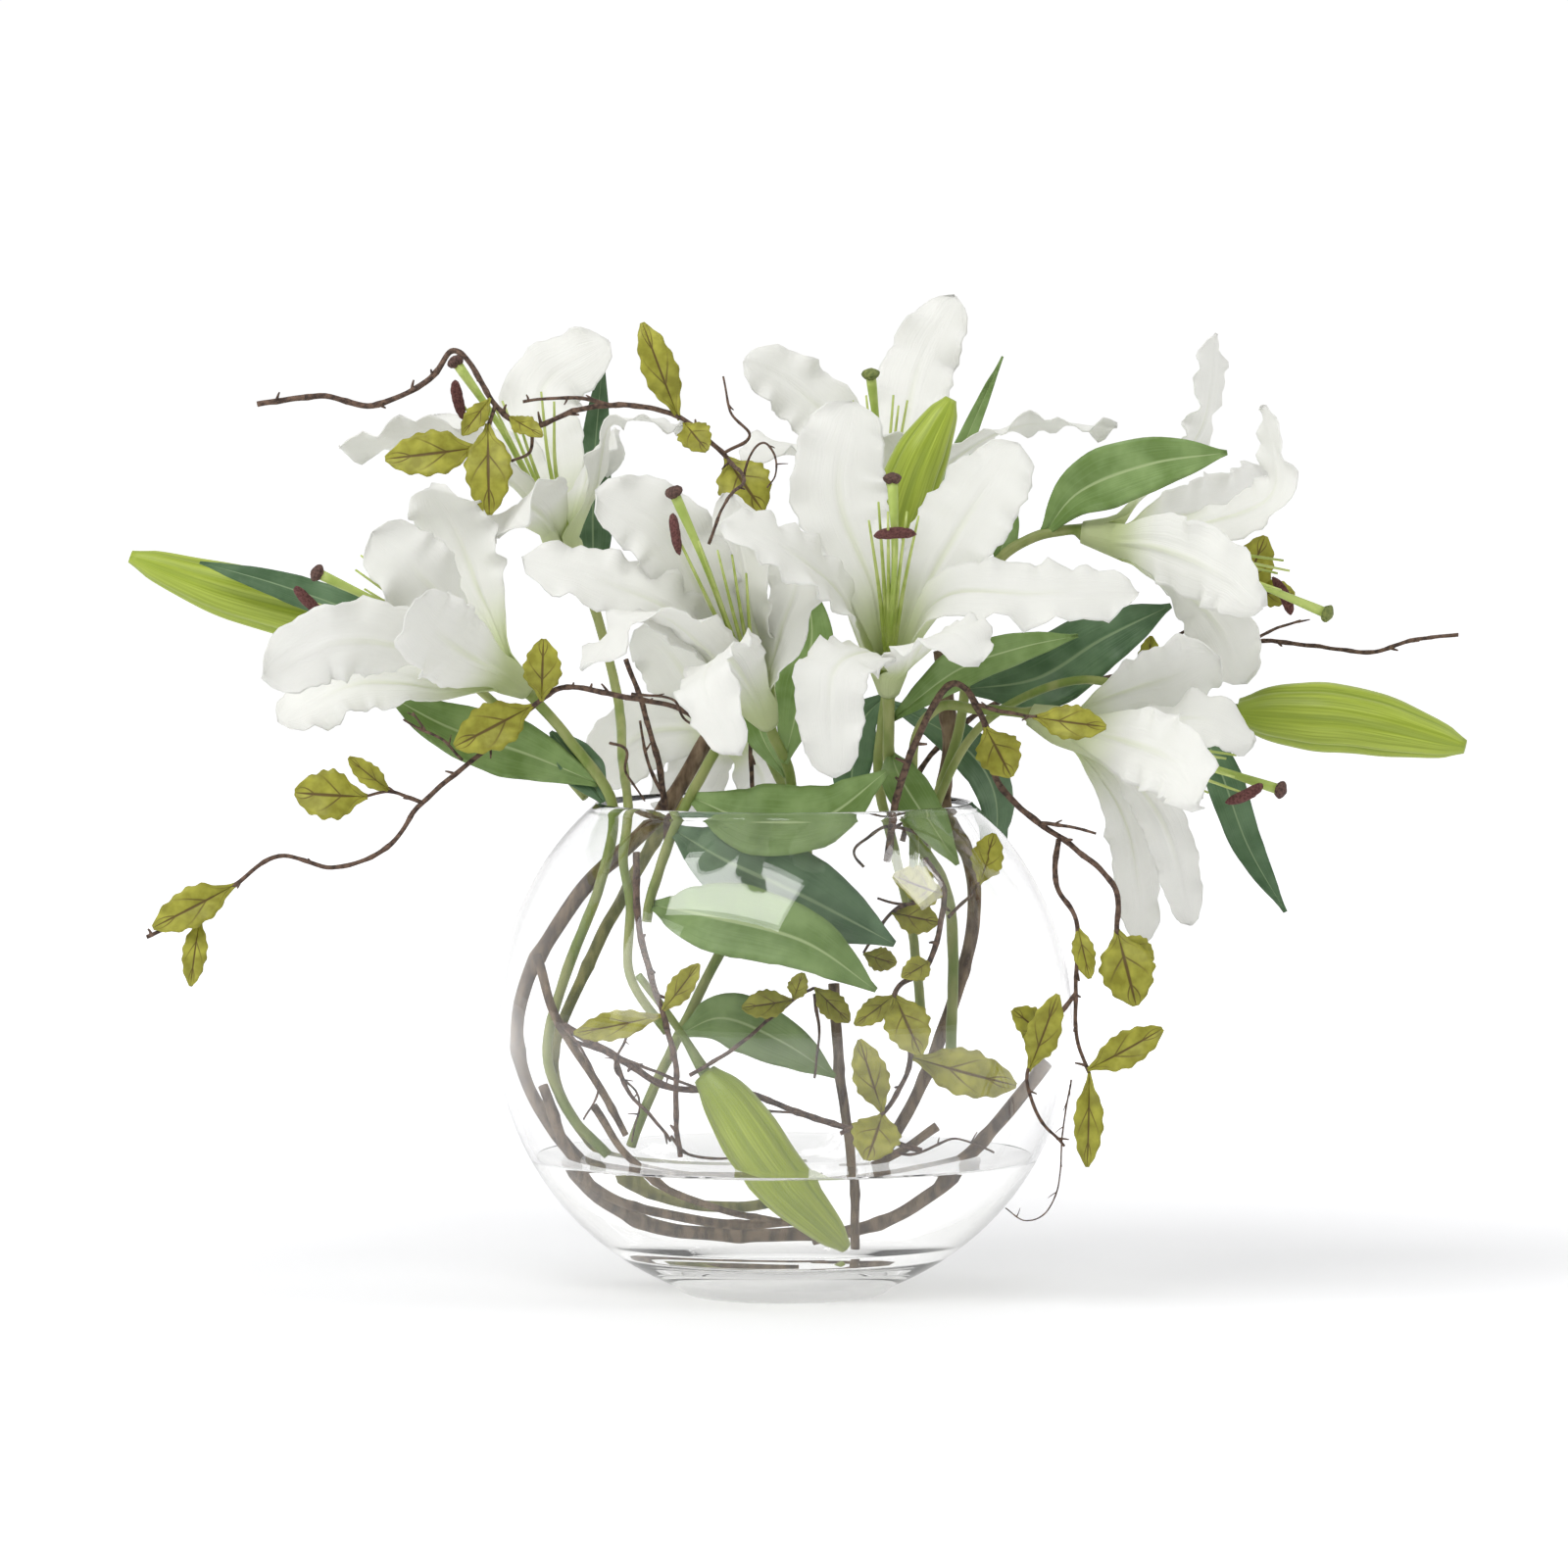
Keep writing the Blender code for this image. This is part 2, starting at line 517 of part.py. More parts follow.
def build_bowl():
    outer_heights = (196, 172, 145, 117, 90, 65, 44, 26, 12)
    inner_heights = (28, 44, WATER_LEVEL, 90, 117, 145, 172, 196)
    rim = ellipse_radius(MOUTH_HEIGHT, BOWL_RADIUS, LOWER_REACH, UPPER_REACH)
    profile = [(rim - RIM_WALL / 2, MOUTH_HEIGHT + 0.8), (rim, MOUTH_HEIGHT)]
    profile += [(ellipse_radius(z, BOWL_RADIUS, LOWER_REACH, UPPER_REACH), z) for z in outer_heights]
    profile += [(FOOT_RADIUS + 4, 2.5), (FOOT_RADIUS, 0.0), (0.0, 0.0)]
    inside = [(0.0, BASE_THICKNESS), (48.0, BASE_THICKNESS + 2.0)]
    inside += [(inner_radius(z), z) for z in inner_heights]
    inside += [(rim - RIM_WALL, MOUTH_HEIGHT)]
    profile += inside
    profile.append(profile[0])
    bowl = lathe("vase", profile)
    show(bowl, "glass")


def build_water(cutters):
    heights = (44, 28)
    profile = [(0.0, WATER_LEVEL), (inner_radius(WATER_LEVEL) - CLEARANCE, WATER_LEVEL)]
    profile += [(inner_radius(z) - CLEARANCE * 1.4, z + 0.1) for z in heights]
    profile += [(47.6, BASE_THICKNESS + 2.0 + CLEARANCE), (0.0, BASE_THICKNESS + CLEARANCE)]
    water = lathe("water", profile)
    for cutter in cutters:
        add_helper(cutter)
        cut = water.modifiers.new("Cut " + cutter.name, "BOOLEAN")
        cut.operation = "DIFFERENCE"
        cut.solver = "EXACT"
        cut.object = cutter
    show(water, "water")


def tepal_rows(spec, base, axis, ring_points, outward):
    """Rows of three points for one tepal, the first row being its share of the tube's upper ring."""
    width, *route = spec[:4]
    turn = spec[4] if len(spec) > 4 else 0.0
    start = sum(ring_points, Vector()) / 3
    points = even_route([start] + [Vector(p) for p in route], TEPAL_ROWS)
    radial = start - base
    radial = (radial - radial.dot(axis) * axis).normalized()
    rows = [ring_points]
    for i, (tangent, across) in enumerate(carry_side(points, axis.cross(radial))):
        if i == 0:
            continue
        share = i / TEPAL_ROWS
        half = 0.5 * width * along(TEPAL_OUTLINE, share)
        flat = tangent.cross(Vector((0.0, 1.0, 0.0)))
        flat = flat if flat.dot(across) > 0 else -flat
        across = across.lerp(flat.normalized(), turn * min(1.0, 1.6 * share)).normalized()
        inner = -(across.cross(tangent))
        away = points[i] - base
        away = away - away.dot(axis) * axis
        reach = max(away.length, 0.95 * half * (1.0 - share))
        points[i] += away.normalized() * (reach - away.length)
        wrap = reach - math.sqrt(max(0.0, reach**2 - half**2))
        cup = min(wrap, 0.5 * half) * (1 - share) - 0.04 * half
        centre = points[i] + inner * outward * min(1.0, 4 * share) * (1 - share**2)
        rows.append([centre + across * half * j + inner * cup * abs(j) for j in (-1, 0, 1)])
    return rows


def build_whorl(name, lily, first, tube_radii, lift, outward):
    """Three tepals grown together into a short tube at the base."""
    base = Vector(lily["base"]) + Vector(lily["axis"]).normalized() * lift
    axis = Vector(lily["axis"]).normalized()
    u = axis.cross(Vector((0.0, 0.0, 1.0))).normalized()
    v = axis.cross(u)
    specs = lily["tepals"][first::2]
    turns = []
    for k, spec in enumerate(specs):
        aim = Vector(spec[2]) - base
        turns.append(math.atan2(aim.dot(v), aim.dot(u)) - k * math.tau / 3)
    phase = math.atan2(sum(math.sin(t) for t in turns), sum(math.cos(t) for t in turns))

    def ring(radius, height):
        return [
            base + axis * height
            + radius * (u * math.cos(phase + a * math.tau / 6) + v * math.sin(phase + a * math.tau / 6))
            for a in range(-1, 5)
        ]

    bottom = ring(tube_radii[0], 0.0)
    top = ring(tube_radii[1], TUBE_LENGTH)
    vertices = bottom + top
    faces = [tuple(range(5, -1, -1))]
    faces += [(a, (a + 1) % 6, 6 + (a + 1) % 6, 6 + a) for a in range(6)]
    for k, spec in enumerate(specs):
        ring_ids = [6 + (2 * k + j) % 6 for j in range(3)]
        rows = tepal_rows(spec, base, axis, [vertices[i] for i in ring_ids], outward)
        ids = ring_ids
        for row in rows[1:]:
            start = len(vertices)
            vertices += row
            new_ids = [start, start + 1, start + 2]
            faces += [(ids[j], ids[j + 1], new_ids[j + 1], new_ids[j]) for j in range(2)]
            ids = new_ids
    whorl = mesh_object(name, vertices, faces)
    thicken(whorl, TEPAL_THICKNESS)
    return whorl


def build_pistil(name, lily):
    """Style with its three-lobed stigma, six filaments and one anther, all from one short base."""
    axis = Vector(lily["axis"]).normalized()
    base = Vector(lily["base"]) + axis * 5.0
    seat = base + axis * 7.0
    style_route = [base, seat + axis * 10.0, *lily["style"]]
    points = even_route(style_route, 5)
    last = (points[-1] - points[-2]).normalized()
    points += [points[-1] + last * 2.5, points[-1] + last * 5.0]
    radii = [2.0] + [STYLE_RADIUS] * 5 + [3.2, 2.4]
    host = tube(name, points, radii, 6)
    pieces = []
    for k, tip in enumerate(lily["tips"]):
        tip = Vector(tip)
        root = base + (tip - base).normalized() * 0.8 + axis * 1.0
        route = even_route([root, seat.lerp(tip, 0.45) + axis * 3.0, tip], 3)
        pieces.append(tube(f"{name} filament {k + 1}", route, [FILAMENT_RADIUS] * 4, 4))
    tip = Vector(lily["tips"][5])
    across = Vector(lily["anther"]).normalized()
    anther = [tip + across * s for s in (-8.0, -5.0, 5.0, 8.0)]
    pieces.append(tube(name + " anther", anther, [0.6, 2.2, 2.2, 0.6], 6))
    join(host, pieces)
    show(host, "pistil")


def leaf_blades(name, leaves):
    return [
        blade(f"leaf {name} {k + 1}", leaf[1:], leaf[0], 5, LEAF_THICKNESS, 0.16) for k, leaf in enumerate(leaves)
    ]


def build_stem(name, spec, leaves):
    radius, route = spec
    stem = wire("stem_" + name, route, radius, thin_end=0.9)
    join(stem, leaf_blades(name, leaves))
    show(stem, "stem")


def bud_body(name, width, route, grow):
    """A long bud with six sides, thickest near its base and blunt at its tip."""
    points = even_route(route, 7)
    radii = [0.5 * width * along(BUD_OUTLINE, i / 7) + grow for i in range(8)]
    return tube(name, points, radii, 8)


def build_bud(name, spec, leaves):
    radius, stem_route, width, route = spec
    body = bud_body("bud_" + name, width, route, 0.0)
    join(body, [wire(f"bud stem {name}", stem_route, radius, thin_end=1.0)] + leaf_blades("bud " + name, leaves))
    show(body, "bud")


def build_twig(name, wires, leaves):
    main = wire("twig_" + name, wires[0][1], wires[0][0], sides=4, steps=1, thin_end=0.7)
    pieces = [
        wire(f"side twig {name} {k + 1}", route, radius, sides=4, steps=1, thin_end=0.7)
        for k, (radius, route) in enumerate(wires[1:])
    ]
    for k, (width, root, tip) in enumerate(leaves):
        root = Vector(root)
        tip = Vector(tip)
        bow = root.lerp(tip, 0.5) + Vector((0.0, -0.12, 0.0)) * (tip - root).length
        pieces.append(blade(f"small leaf {name} {k + 1}", (root, bow, tip), width, 3, 0.7, 0.12))
    join(main, pieces)
    show(main, "twig")


def wet_cutters():
    """Slightly fatter copies of everything that stands in the water."""
    wires = {"vine " + n: VINES[n] for n in ("long", "second", "right", "rising", "upright")}
    cutters = []
    for name, (radius, route) in wires.items():
        points = smooth_route(route, 2)
        radii = [radius * (1 - 0.25 * i / (len(points) - 1)) + CLEARANCE for i in range(len(points))]
        stretch = (points[-1] - points[-2]).normalized() * CLEARANCE
        points[-1] = points[-1] + stretch
        cutters.append(tube("channel " + name, points, radii, 6))
    radius, stem_route, width, route = BUDS["bowl"]
    grown = list(route[:-1]) + [Vector(route[-1]) + (Vector(route[-1]) - Vector(route[-2])).normalized() * 0.6]
    cutters.append(bud_body("channel bud", width, grown, CLEARANCE))
    return cutters


def main():
    build_bowl()
    build_water(wet_cutters())
    for name, lily in LILIES.items():
        petals = build_whorl(f"lily_{name}_petals", lily, 0, OUTER_TUBE, 0.0, -2.2)
        join(petals, [build_whorl(f"inner whorl {name}", lily, 1, INNER_TUBE, INNER_LIFT, 1.8)])
        show(petals, "petal")
        build_pistil(f"lily_{name}_pistil", lily)
    for name, spec in STEMS.items():
        build_stem(name, spec, LEAVES.get(name, ()))
    for name, spec in BUDS.items():
        build_bud(name, spec, LEAVES.get("bud " + name, ()))
    for name, (radius, route) in VINES.items():
        show(wire("vine_" + name, route, radius, thin_end=0.75), "vine")
    for name, (wires, leaves) in TWIGS.items():
        build_twig(name, wires, leaves)


clear_scene()
SHOWN, HELPERS = add_collections()
main()
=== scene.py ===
"""Lilies, buds and curly twigs in a round glass bowl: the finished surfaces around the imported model.

Lengths, radii and route points are in millimetres until mesh_piece turns them to metres. X runs to the
right, Y to the back and Z up; the origin is the middle of the bowl's foot.
"""

import math
import random

import bpy
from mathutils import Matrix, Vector, noise


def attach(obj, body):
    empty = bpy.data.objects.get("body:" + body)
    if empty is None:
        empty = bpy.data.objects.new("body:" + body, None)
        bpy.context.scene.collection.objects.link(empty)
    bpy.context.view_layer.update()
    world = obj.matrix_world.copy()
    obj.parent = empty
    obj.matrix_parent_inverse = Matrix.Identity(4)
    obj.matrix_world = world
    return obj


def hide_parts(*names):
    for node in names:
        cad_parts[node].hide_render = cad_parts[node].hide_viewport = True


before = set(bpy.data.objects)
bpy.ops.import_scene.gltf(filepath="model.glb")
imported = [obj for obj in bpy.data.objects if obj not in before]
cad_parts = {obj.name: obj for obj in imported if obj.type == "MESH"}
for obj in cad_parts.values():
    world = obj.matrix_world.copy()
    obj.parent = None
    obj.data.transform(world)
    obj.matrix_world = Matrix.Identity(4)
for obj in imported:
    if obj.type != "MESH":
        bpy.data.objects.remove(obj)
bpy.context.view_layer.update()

MM = 0.001

# Without a seed, the noise that roughens bark and stalks starts from the clock
NOISE_SEED = 7
noise.seed_set(NOISE_SEED)

# ---------------------------------------------------------------- sizes of the glass bowl and its water
BOWL_RADIUS = 125.0
WIDEST_HEIGHT = 117.0
LOWER_REACH = 122.0
UPPER_REACH = 127.2
MOUTH_HEIGHT = 213.0
FOOT_RADIUS = 42.0
WALL = 3.5
RIM_WALL = 2.6
BASE_THICKNESS = 14.0
FLOOR_CURVE_TOP = 21.0
BOWL_STEPS = 128
WATER_LEVEL = 60.0
WATER_INTO_GLASS = 0.5
# Water bends light by 1.33, which would hide the vines in it; drawn far lower, so that they show unbroken
WATER_BEND = 1.03
MENISCUS = 1.4

# ---------------------------------------------------------------- sizes of the blooms and greenery
TUBE_LENGTH = 13.0
TUBE_ROWS = 4
# Half of the turn round the tube that one tepal's foot covers
TUBE_SPREAD = math.radians(63)
OUTER_WHORL = {"tube": (4.6, 8.4), "lift": 0.0, "outward": -2.2}
INNER_WHORL = {"tube": (3.0, 5.2), "lift": 2.2, "outward": 1.8}
TEPAL_ROWS = 44
TEPAL_COLUMNS = (-1.0, -0.92, -0.82, -0.7, -0.57, -0.44, -0.32, -0.22, -0.14, -0.07, 0.0,
                 0.07, 0.14, 0.22, 0.32, 0.44, 0.57, 0.7, 0.82, 0.92, 1.0)
TEPAL_OUTLINE = ((0.0, 0.36), (0.2, 0.5), (0.4, 0.88), (0.6, 1.0), (0.8, 0.9), (1.0, 0.66))
TIP_ROUNDING = 0.16
TEPAL_THICKNESS = 0.55
LEAF_ROWS = 28
LEAF_COLUMNS = (-1.0, -0.8, -0.6, -0.4, -0.22, -0.09, 0.0, 0.09, 0.22, 0.4, 0.6, 0.8, 1.0)
LEAF_OUTLINE = ((0.0, 0.1), (0.2, 0.6), (0.4, 1.0), (0.66, 0.84), (0.85, 0.5), (1.0, 0.02))
LEAF_THICKNESS = 0.5
SMALL_LEAF_ROWS = 30
SMALL_LEAF_OUTLINE = ((0.0, 0.08), (0.15, 0.3), (0.35, 0.85), (0.55, 1.0), (0.8, 0.72), (0.93, 0.4),
                      (1.0, 0.03))
SMALL_LEAF_THICKNESS = 0.4
# Turn of the wave of teeth from root to tip of a leaf, in radians: six teeth a side
LEAF_TEETH = 38.0
BUD_OUTLINE = ((0.0, 0.34), (0.06, 0.6), (0.14, 0.8), (0.35, 1.0), (0.65, 0.86), (0.9, 0.5), (0.97, 0.34),
               (1.0, 0.1))
BUD_RINGS = 40
FILAMENT_RADIUS = 0.9
STYLE_RADIUS = 1.3
STYLE_STEPS = 24
FILAMENT_STEPS = 16
ANTHER_LENGTH = 18.0
ANTHER_RADIUS = 2.5
ANTHER_STEPS = 16
STIGMA_RADII = (1.6, 2.6, 3.4, 3.9, 4.1, 3.7, 2.8, 1.0)

# Each bloom: where its tube begins, the way it faces, where style and stigma go, the filament tips
# it has (the last one carries the anther), the way that anther lies, and six tepals in order round the
# tube, outer and inner by turns: width, three points and, where the blade turns its face to the front,
# how far (0 to 1).
LILIES = {
    "left": {
        "base": (-111, -10, 263),
        "axis": (-0.74, -0.45, 0.5),
        "style": ((-150, -36, 290), (-198, -50, 314)),
        "tips": ((-181, -44, 322), (-183, -50, 316), (-179, -54, 308), (-184, -34, 306), (-170, -48, 303),
                 (-204, -48, 303)),
        "anther": (0.7, 0.0, -0.7),
        "tepals": (
            (32, (-145, -19, 265), (-183, -24, 267), (-217, -34, 250), 0.3),
            (36, (-147, -44, 278), (-188, -66, 286), (-222, -74, 271), 0.8),
            (38, (-136, -51, 280), (-150, -76, 292), (-156, -90, 305)),
            (38, (-139, -36, 296), (-160, -50, 318), (-176, -52, 332), 0.7),
            (38, (-131, -4, 301), (-142, -2, 330), (-153, -14, 350), 0.4),
            (36, (-136, 24, 288), (-159, 48, 304), (-172, 72, 312)),
        ),
    },
    "back_left": {
        "base": (-90, 55, 313),
        "axis": (-0.5, -0.25, 0.83),
        "style": ((-122, 42, 372), (-142, 40, 402)),
        "tips": ((-128, 34, 388), (-123, 52, 386), (-116, 30, 380), (-106, 52, 390), (-100, 36, 386),
                 (-142, 34, 388)),
        "anther": (0.2, 0.2, -0.95),
        "tepals": (
            (30, (-113, 36, 348), (-149, 30, 371), (-193, 26, 366), 0.3),
            (38, (-104, 30, 335), (-114, 8, 342), (-123, -6, 328)),
            (24, (-84, 42, 350), (-75, 34, 378), (-44, 34, 376)),
            (34, (-86, 68, 349), (-84, 90, 362), (-80, 106, 352)),
            (36, (-100, 80, 353), (-107, 102, 390), (-77, 104, 411), 0.5),
            (36, (-114, 62, 351), (-138, 72, 370), (-153, 84, 379)),
        ),
    },
    "front_left": {
        "base": (-7, -18, 249),
        "axis": (-0.3, -0.72, 0.62),
        "style": ((-32, -82, 316), (-46, -94, 349)),
        "tips": ((-43, -100, 328), (-36, -104, 330), (-28, -102, 326), (-22, -98, 324), (-16, -94, 316),
                 (-46, -102, 334)),
        "anther": (0.15, 0.1, -0.98),
        "tepals": (
            (34, (-40, -72, 294), (-73, -88, 312), (-111, -90, 323)),
            (38, (-37, -88, 286), (-60, -112, 299), (-85, -122, 276)),
            (32, (-24, -102, 282), (-34, -140, 273), (-19, -148, 242)),
            (34, (0, -62, 291), (6, -57, 312), (0, -54, 334), 0.4),
            (30, (-16, -58, 302), (-21, -62, 328), (-25, -58, 349)),
            (38, (-35, -58, 304), (-52, -76, 335), (-80, -84, 350)),
        ),
    },
    "front_right": {
        "base": (45, -26, 263),
        "axis": (0.0, -0.6, 0.8),
        "style": ((47, -74, 322), (46, -76, 354)),
        "tips": ((40, -88, 346), (44, -92, 342), (52, -90, 342), (57, -84, 340), (36, -80, 338),
                 (47, -84, 333)),
        "anther": (1.0, 0.0, 0.05),
        "tepals": (
            (34, (26, -66, 306), (0, -96, 328), (-26, -106, 338)),
            (32, (34, -86, 281), (20, -116, 273), (21, -120, 231)),
            (36, (58, -89, 288), (73, -116, 292), (83, -124, 280)),
            (36, (69, -62, 304), (106, -68, 306), (151, -62, 307)),
            (40, (60, -38, 308), (80, -32, 341), (101, -20, 369)),
            (44, (37, -43, 308), (23, -38, 348), (30, -18, 387)),
        ),
    },
    "top": {
        "base": (45, 58, 306),
        "axis": (-0.1, -0.1, 0.98),
        "style": ((42, 60, 360), (38, 52, 396)),
        "tips": ((33, 48, 384), (30, 60, 386), (36, 72, 388), (48, 76, 388), (54, 64, 386), (50, 50, 384)),
        "anther": (0.4, -0.9, 0.1),
        "tepals": (
            (32, (26, 65, 368), (5, 62, 392), (-17, 54, 404), 0.7),
            (32, (21, 45, 350), (-2, 28, 368), (-15, 14, 359)),
            (30, (42, 34, 347), (44, 26, 366), (42, 22, 372)),
            (24, (66, 54, 352), (102, 48, 374), (145, 42, 374)),
            (34, (60, 84, 350), (78, 104, 364), (92, 118, 352)),
            (34, (52, 94, 366), (60, 118, 400), (76, 126, 431), 0.3),
        ),
    },
    "right": {
        "base": (129, 12, 330),
        "axis": (0.96, -0.12, -0.12),
        "style": ((180, 4, 318), (233, -2, 296)),
        "tips": ((214, 16, 312), (216, 4, 318), (218, -8, 314), (214, -16, 306), (206, -2, 300),
                 (217, 10, 302)),
        "anther": (0.43, -0.1, -0.9),
        "tepals": (
            (36, (161, -25, 325), (186, -46, 315), (204, -56, 300)),
            (33, (157, 1, 314), (184, -1, 294), (200, -1, 265), 0.6),
            (34, (161, 36, 318), (190, 58, 305), (204, 74, 284)),
            (34, (163, 49, 334), (194, 80, 340), (212, 102, 352)),
            (22, (158, 28, 347), (182, 36, 373), (187, 26, 416), 0.35),
            (25, (184, -10, 336), (210, -21, 350), (206, -28, 386), 0.25),
        ),
    },
    "low_right": {
        "base": (106, -28, 253),
        "axis": (0.9, -0.2, -0.34),
        "style": ((160, -36, 238), (211, -44, 222)),
        "tips": ((190, -28, 234), (194, -38, 236), (186, -58, 236), (192, -62, 228), (182, -40, 220),
                 (198, -52, 220)),
        "anther": (0.88, -0.1, 0.45),
        "tepals": (
            (20, (143, -44, 233), (163, -58, 206), (174, -54, 164), 1.0),
            (21, (130, -22, 232), (148, -18, 202), (155, -16, 153), 0.8),
            (34, (140, 7, 242), (166, 34, 232), (183, 52, 213)),
            (38, (135, -22, 260), (165, -22, 269), (187, -26, 278), 0.5),
            (34, (147, -45, 248), (178, -54, 252), (201, -54, 242), 0.3),
            (36, (144, -67, 244), (166, -100, 236), (175, -114, 219)),
        ),
    },
    "rear": {
        "base": (-15, 52, 243),
        "axis": (-0.55, 0.8, -0.1),
        "style": ((-40, 108, 240), (-62, 140, 232)),
        "tips": ((-66, 112, 250), (-58, 130, 256), (-46, 140, 254), (-36, 138, 238), (-46, 126, 224),
                 (-60, 120, 226)),
        "anther": (0.6, 0.3, 0.7),
        "tepals": (
            (32, (-16, 84, 230), (-10, 110, 216), (-14, 132, 205)),
            (32, (-32, 78, 226), (-44, 98, 212), (-52, 112, 203)),
            (34, (-42, 74, 242), (-64, 82, 238), (-84, 86, 218)),
            (34, (-38, 76, 258), (-52, 86, 276), (-66, 92, 284)),
            (34, (-22, 96, 259), (-28, 122, 280), (-34, 142, 288)),
            (34, (-6, 100, 250), (2, 136, 256), (8, 166, 248)),
        ),
    },
}

# Stems: radius, then the route from the flower down. Leaves: width, then root to tip.
STEMS = {
    "left": (2.4, ((-107, -7, 258), (-93, -2, 241), (-74, -10, 213), (-79, -13, 179), (-95, -13, 137),
                   (-102, -12, 105), (-92, -10, 79), (-76, -8, 62))),
    "back_left": (2.2, ((-88, 55, 308), (-80, 48, 287), (-72, 38, 254), (-70, 10, 232), (-67, -17, 211),
                        (-69, -24, 190), (-66, -25, 170), (-66, -30, 140), (-50, -34, 116))),
    "front_left": (2.4, ((-5, -12, 244), (3, -6, 222), (-2, -8, 188), (-25, -14, 153), (-46, -16, 112),
                         (-58, -14, 87), (-66, -10, 66))),
    "front_right": (2.6, ((45, -22, 257), (46, -16, 227), (55, -12, 201), (69, -10, 178), (73, -10, 150),
                          (72, -10, 105))),
    "top": (2.4, ((45, 57, 300), (45, 50, 262), (41, 40, 224), (48, 34, 190), (56, 28, 155), (60, 20, 114))),
    "right": (2.4, ((123, 12, 331), (106, 12, 327), (91, 12, 315), (81, 12, 285), (76, 6, 246), (64, 6, 208),
                    (60, 4, 178))),
    "low_right": (2.3, ((100, -27, 254), (84, -24, 255), (67, -22, 256), (56, -23, 240), (56, -25, 202),
                        (55, -26, 168))),
    "rear": (2.3, ((-12, 46, 241), (-2, 32, 222), (8, 22, 199), (14, 8, 165))),
    "leafy": (2.4, ((-30, -16, 236), (-42, -22, 214), (-50, -26, 195), (-57, -28, 174), (-59, -29, 163))),
}
LEAVES = {
    "left": ((28, (-80, -6, 222), (-110, 0, 234), (-144, -6, 246), (-172, -10, 261)),
             (19, (-78, -8, 214), (-87, 0, 228), (-101, 4, 244))),
    "back_left": ((18, (-82, 50, 292), (-84, 84, 320), (-84, 112, 357), (-80, 114, 404)),),
    "front_left": ((24, (0, -10, 231), (6, -6, 256), (12, -2, 285), (9, 2, 311)),
                   (16, (1, -7, 225), (-10, 6, 243), (-14, 10, 266), (-4, 6, 288)),
                   (25, (-45, -17, 114), (-26, -32, 122), (0, -38, 112), (22, -36, 98))),
    "front_right": ((18, (46, -18, 250), (74, -32, 272), (101, -36, 282), (126, -32, 287)),
                    (20, (46, -16, 236), (50, -36, 226), (62, -40, 207), (74, -36, 188))),
    "top": ((20, (45, 47, 255), (76, 34, 238), (92, 46, 214), (92, 70, 176)),
            (22, (45, 48, 258), (34, 58, 245), (30, 62, 225), (30, 58, 200)),
            (10, (47, 56, 292), (70, 72, 345), (84, 76, 378), (96, 78, 405))),
    "right": ((28, (112, 12, 329), (128, 4, 348), (158, -4, 360), (191, -8, 365)),
              (12, (92, 12, 316), (96, 18, 329), (99, 22, 344)),
              (33, (77, 8, 262), (110, 26, 266), (138, 24, 283), (168, 20, 298))),
    "bud right": ((17, (168, 12, 257), (185, 2, 236), (200, 0, 196), (217, 0, 166)),),
    "bud left": ((16, (-147, 36, 271), (-176, 14, 291), (-215, 11, 306), (-253, 12, 317)),),
    "leafy": ((36, (-40, -21, 217), (-13, -42, 208), (17, -50, 210), (44, -54, 230)),
              (40, (-47, -25, 202), (-24, -46, 190), (8, -56, 176), (47, -62, 156)),
              (34, (-56, -29, 170), (-33, -60, 168), (8, -72, 158), (39, -70, 137))),
}
# Buds: stem radius, stem route from the bowl up, bud width, route from its base to its tip
BUDS = {
    "left": (2.0, ((-86, 12, 215), (-110, 28, 240), (-142, 36, 268), (-171, 36, 285)), 28,
             ((-168, 36, 283), (-203, 34, 294), (-245, 30, 305), (-284, 26, 319))),
    "right": (1.9, ((58, -6, 172), (64, -4, 206), (78, -3, 238), (98, 2, 256), (130, 13, 266), (165, 14, 258),
                    (200, 8, 252)), 31,
              ((197, 8, 252), (222, 4, 251), (252, 0, 248), (294, -8, 238))),
    "top": (1.8, ((44, 4, 262), (45, 2, 290), (47, 2, 326)), 27,
            ((46, 2, 322), (50, 2, 336), (58, 0, 360), (72, -2, 388))),
    "bowl": (1.7, ((-62, -52, 142), (-46, -46, 120), (-32, -50, 98)), 27,
             ((-34, -49, 100), (-24, -51, 88), (-4, -50, 59), (26, -38, 27))),
}
# Thick brown vines: radius, route
VINES = {
    "long": (3.5, ((-28, 6, 250), (-55, 6, 206), (-85, 4, 177), (-108, 2, 143), (-116, 2, 115), (-111, 2, 90),
                   (-96, 6, 66), (-79, 16, 46), (-54, 26, 32), (-20, 32, 28), (17, 28, 29))),
    "second": (2.8, ((-44, 24, 214), (-66, 18, 178), (-88, 16, 135), (-101, 16, 101), (-90, 22, 71),
                     (-62, 40, 47), (-22, 46, 38), (10, 44, 44))),
    "right": (3.3, ((68, 16, 278), (72, 20, 240), (70, 20, 212), (81, 12, 185), (82, 10, 161), (74, 4, 128),
                    (59, 0, 90), (40, 0, 56))),
    "rising": (3.2, ((114, 0, 101), (98, 4, 80), (76, 8, 57), (45, 12, 36), (12, 4, 28))),
    "upright": (2.4, ((21, -24, 136), (24, -22, 100), (29, -20, 58), (30, -13, 25))),
    "crossing": (2.0, ((-106, -24, 149), (-97, -27, 121), (-80, -26, 94), (-68, -24, 72))),
}
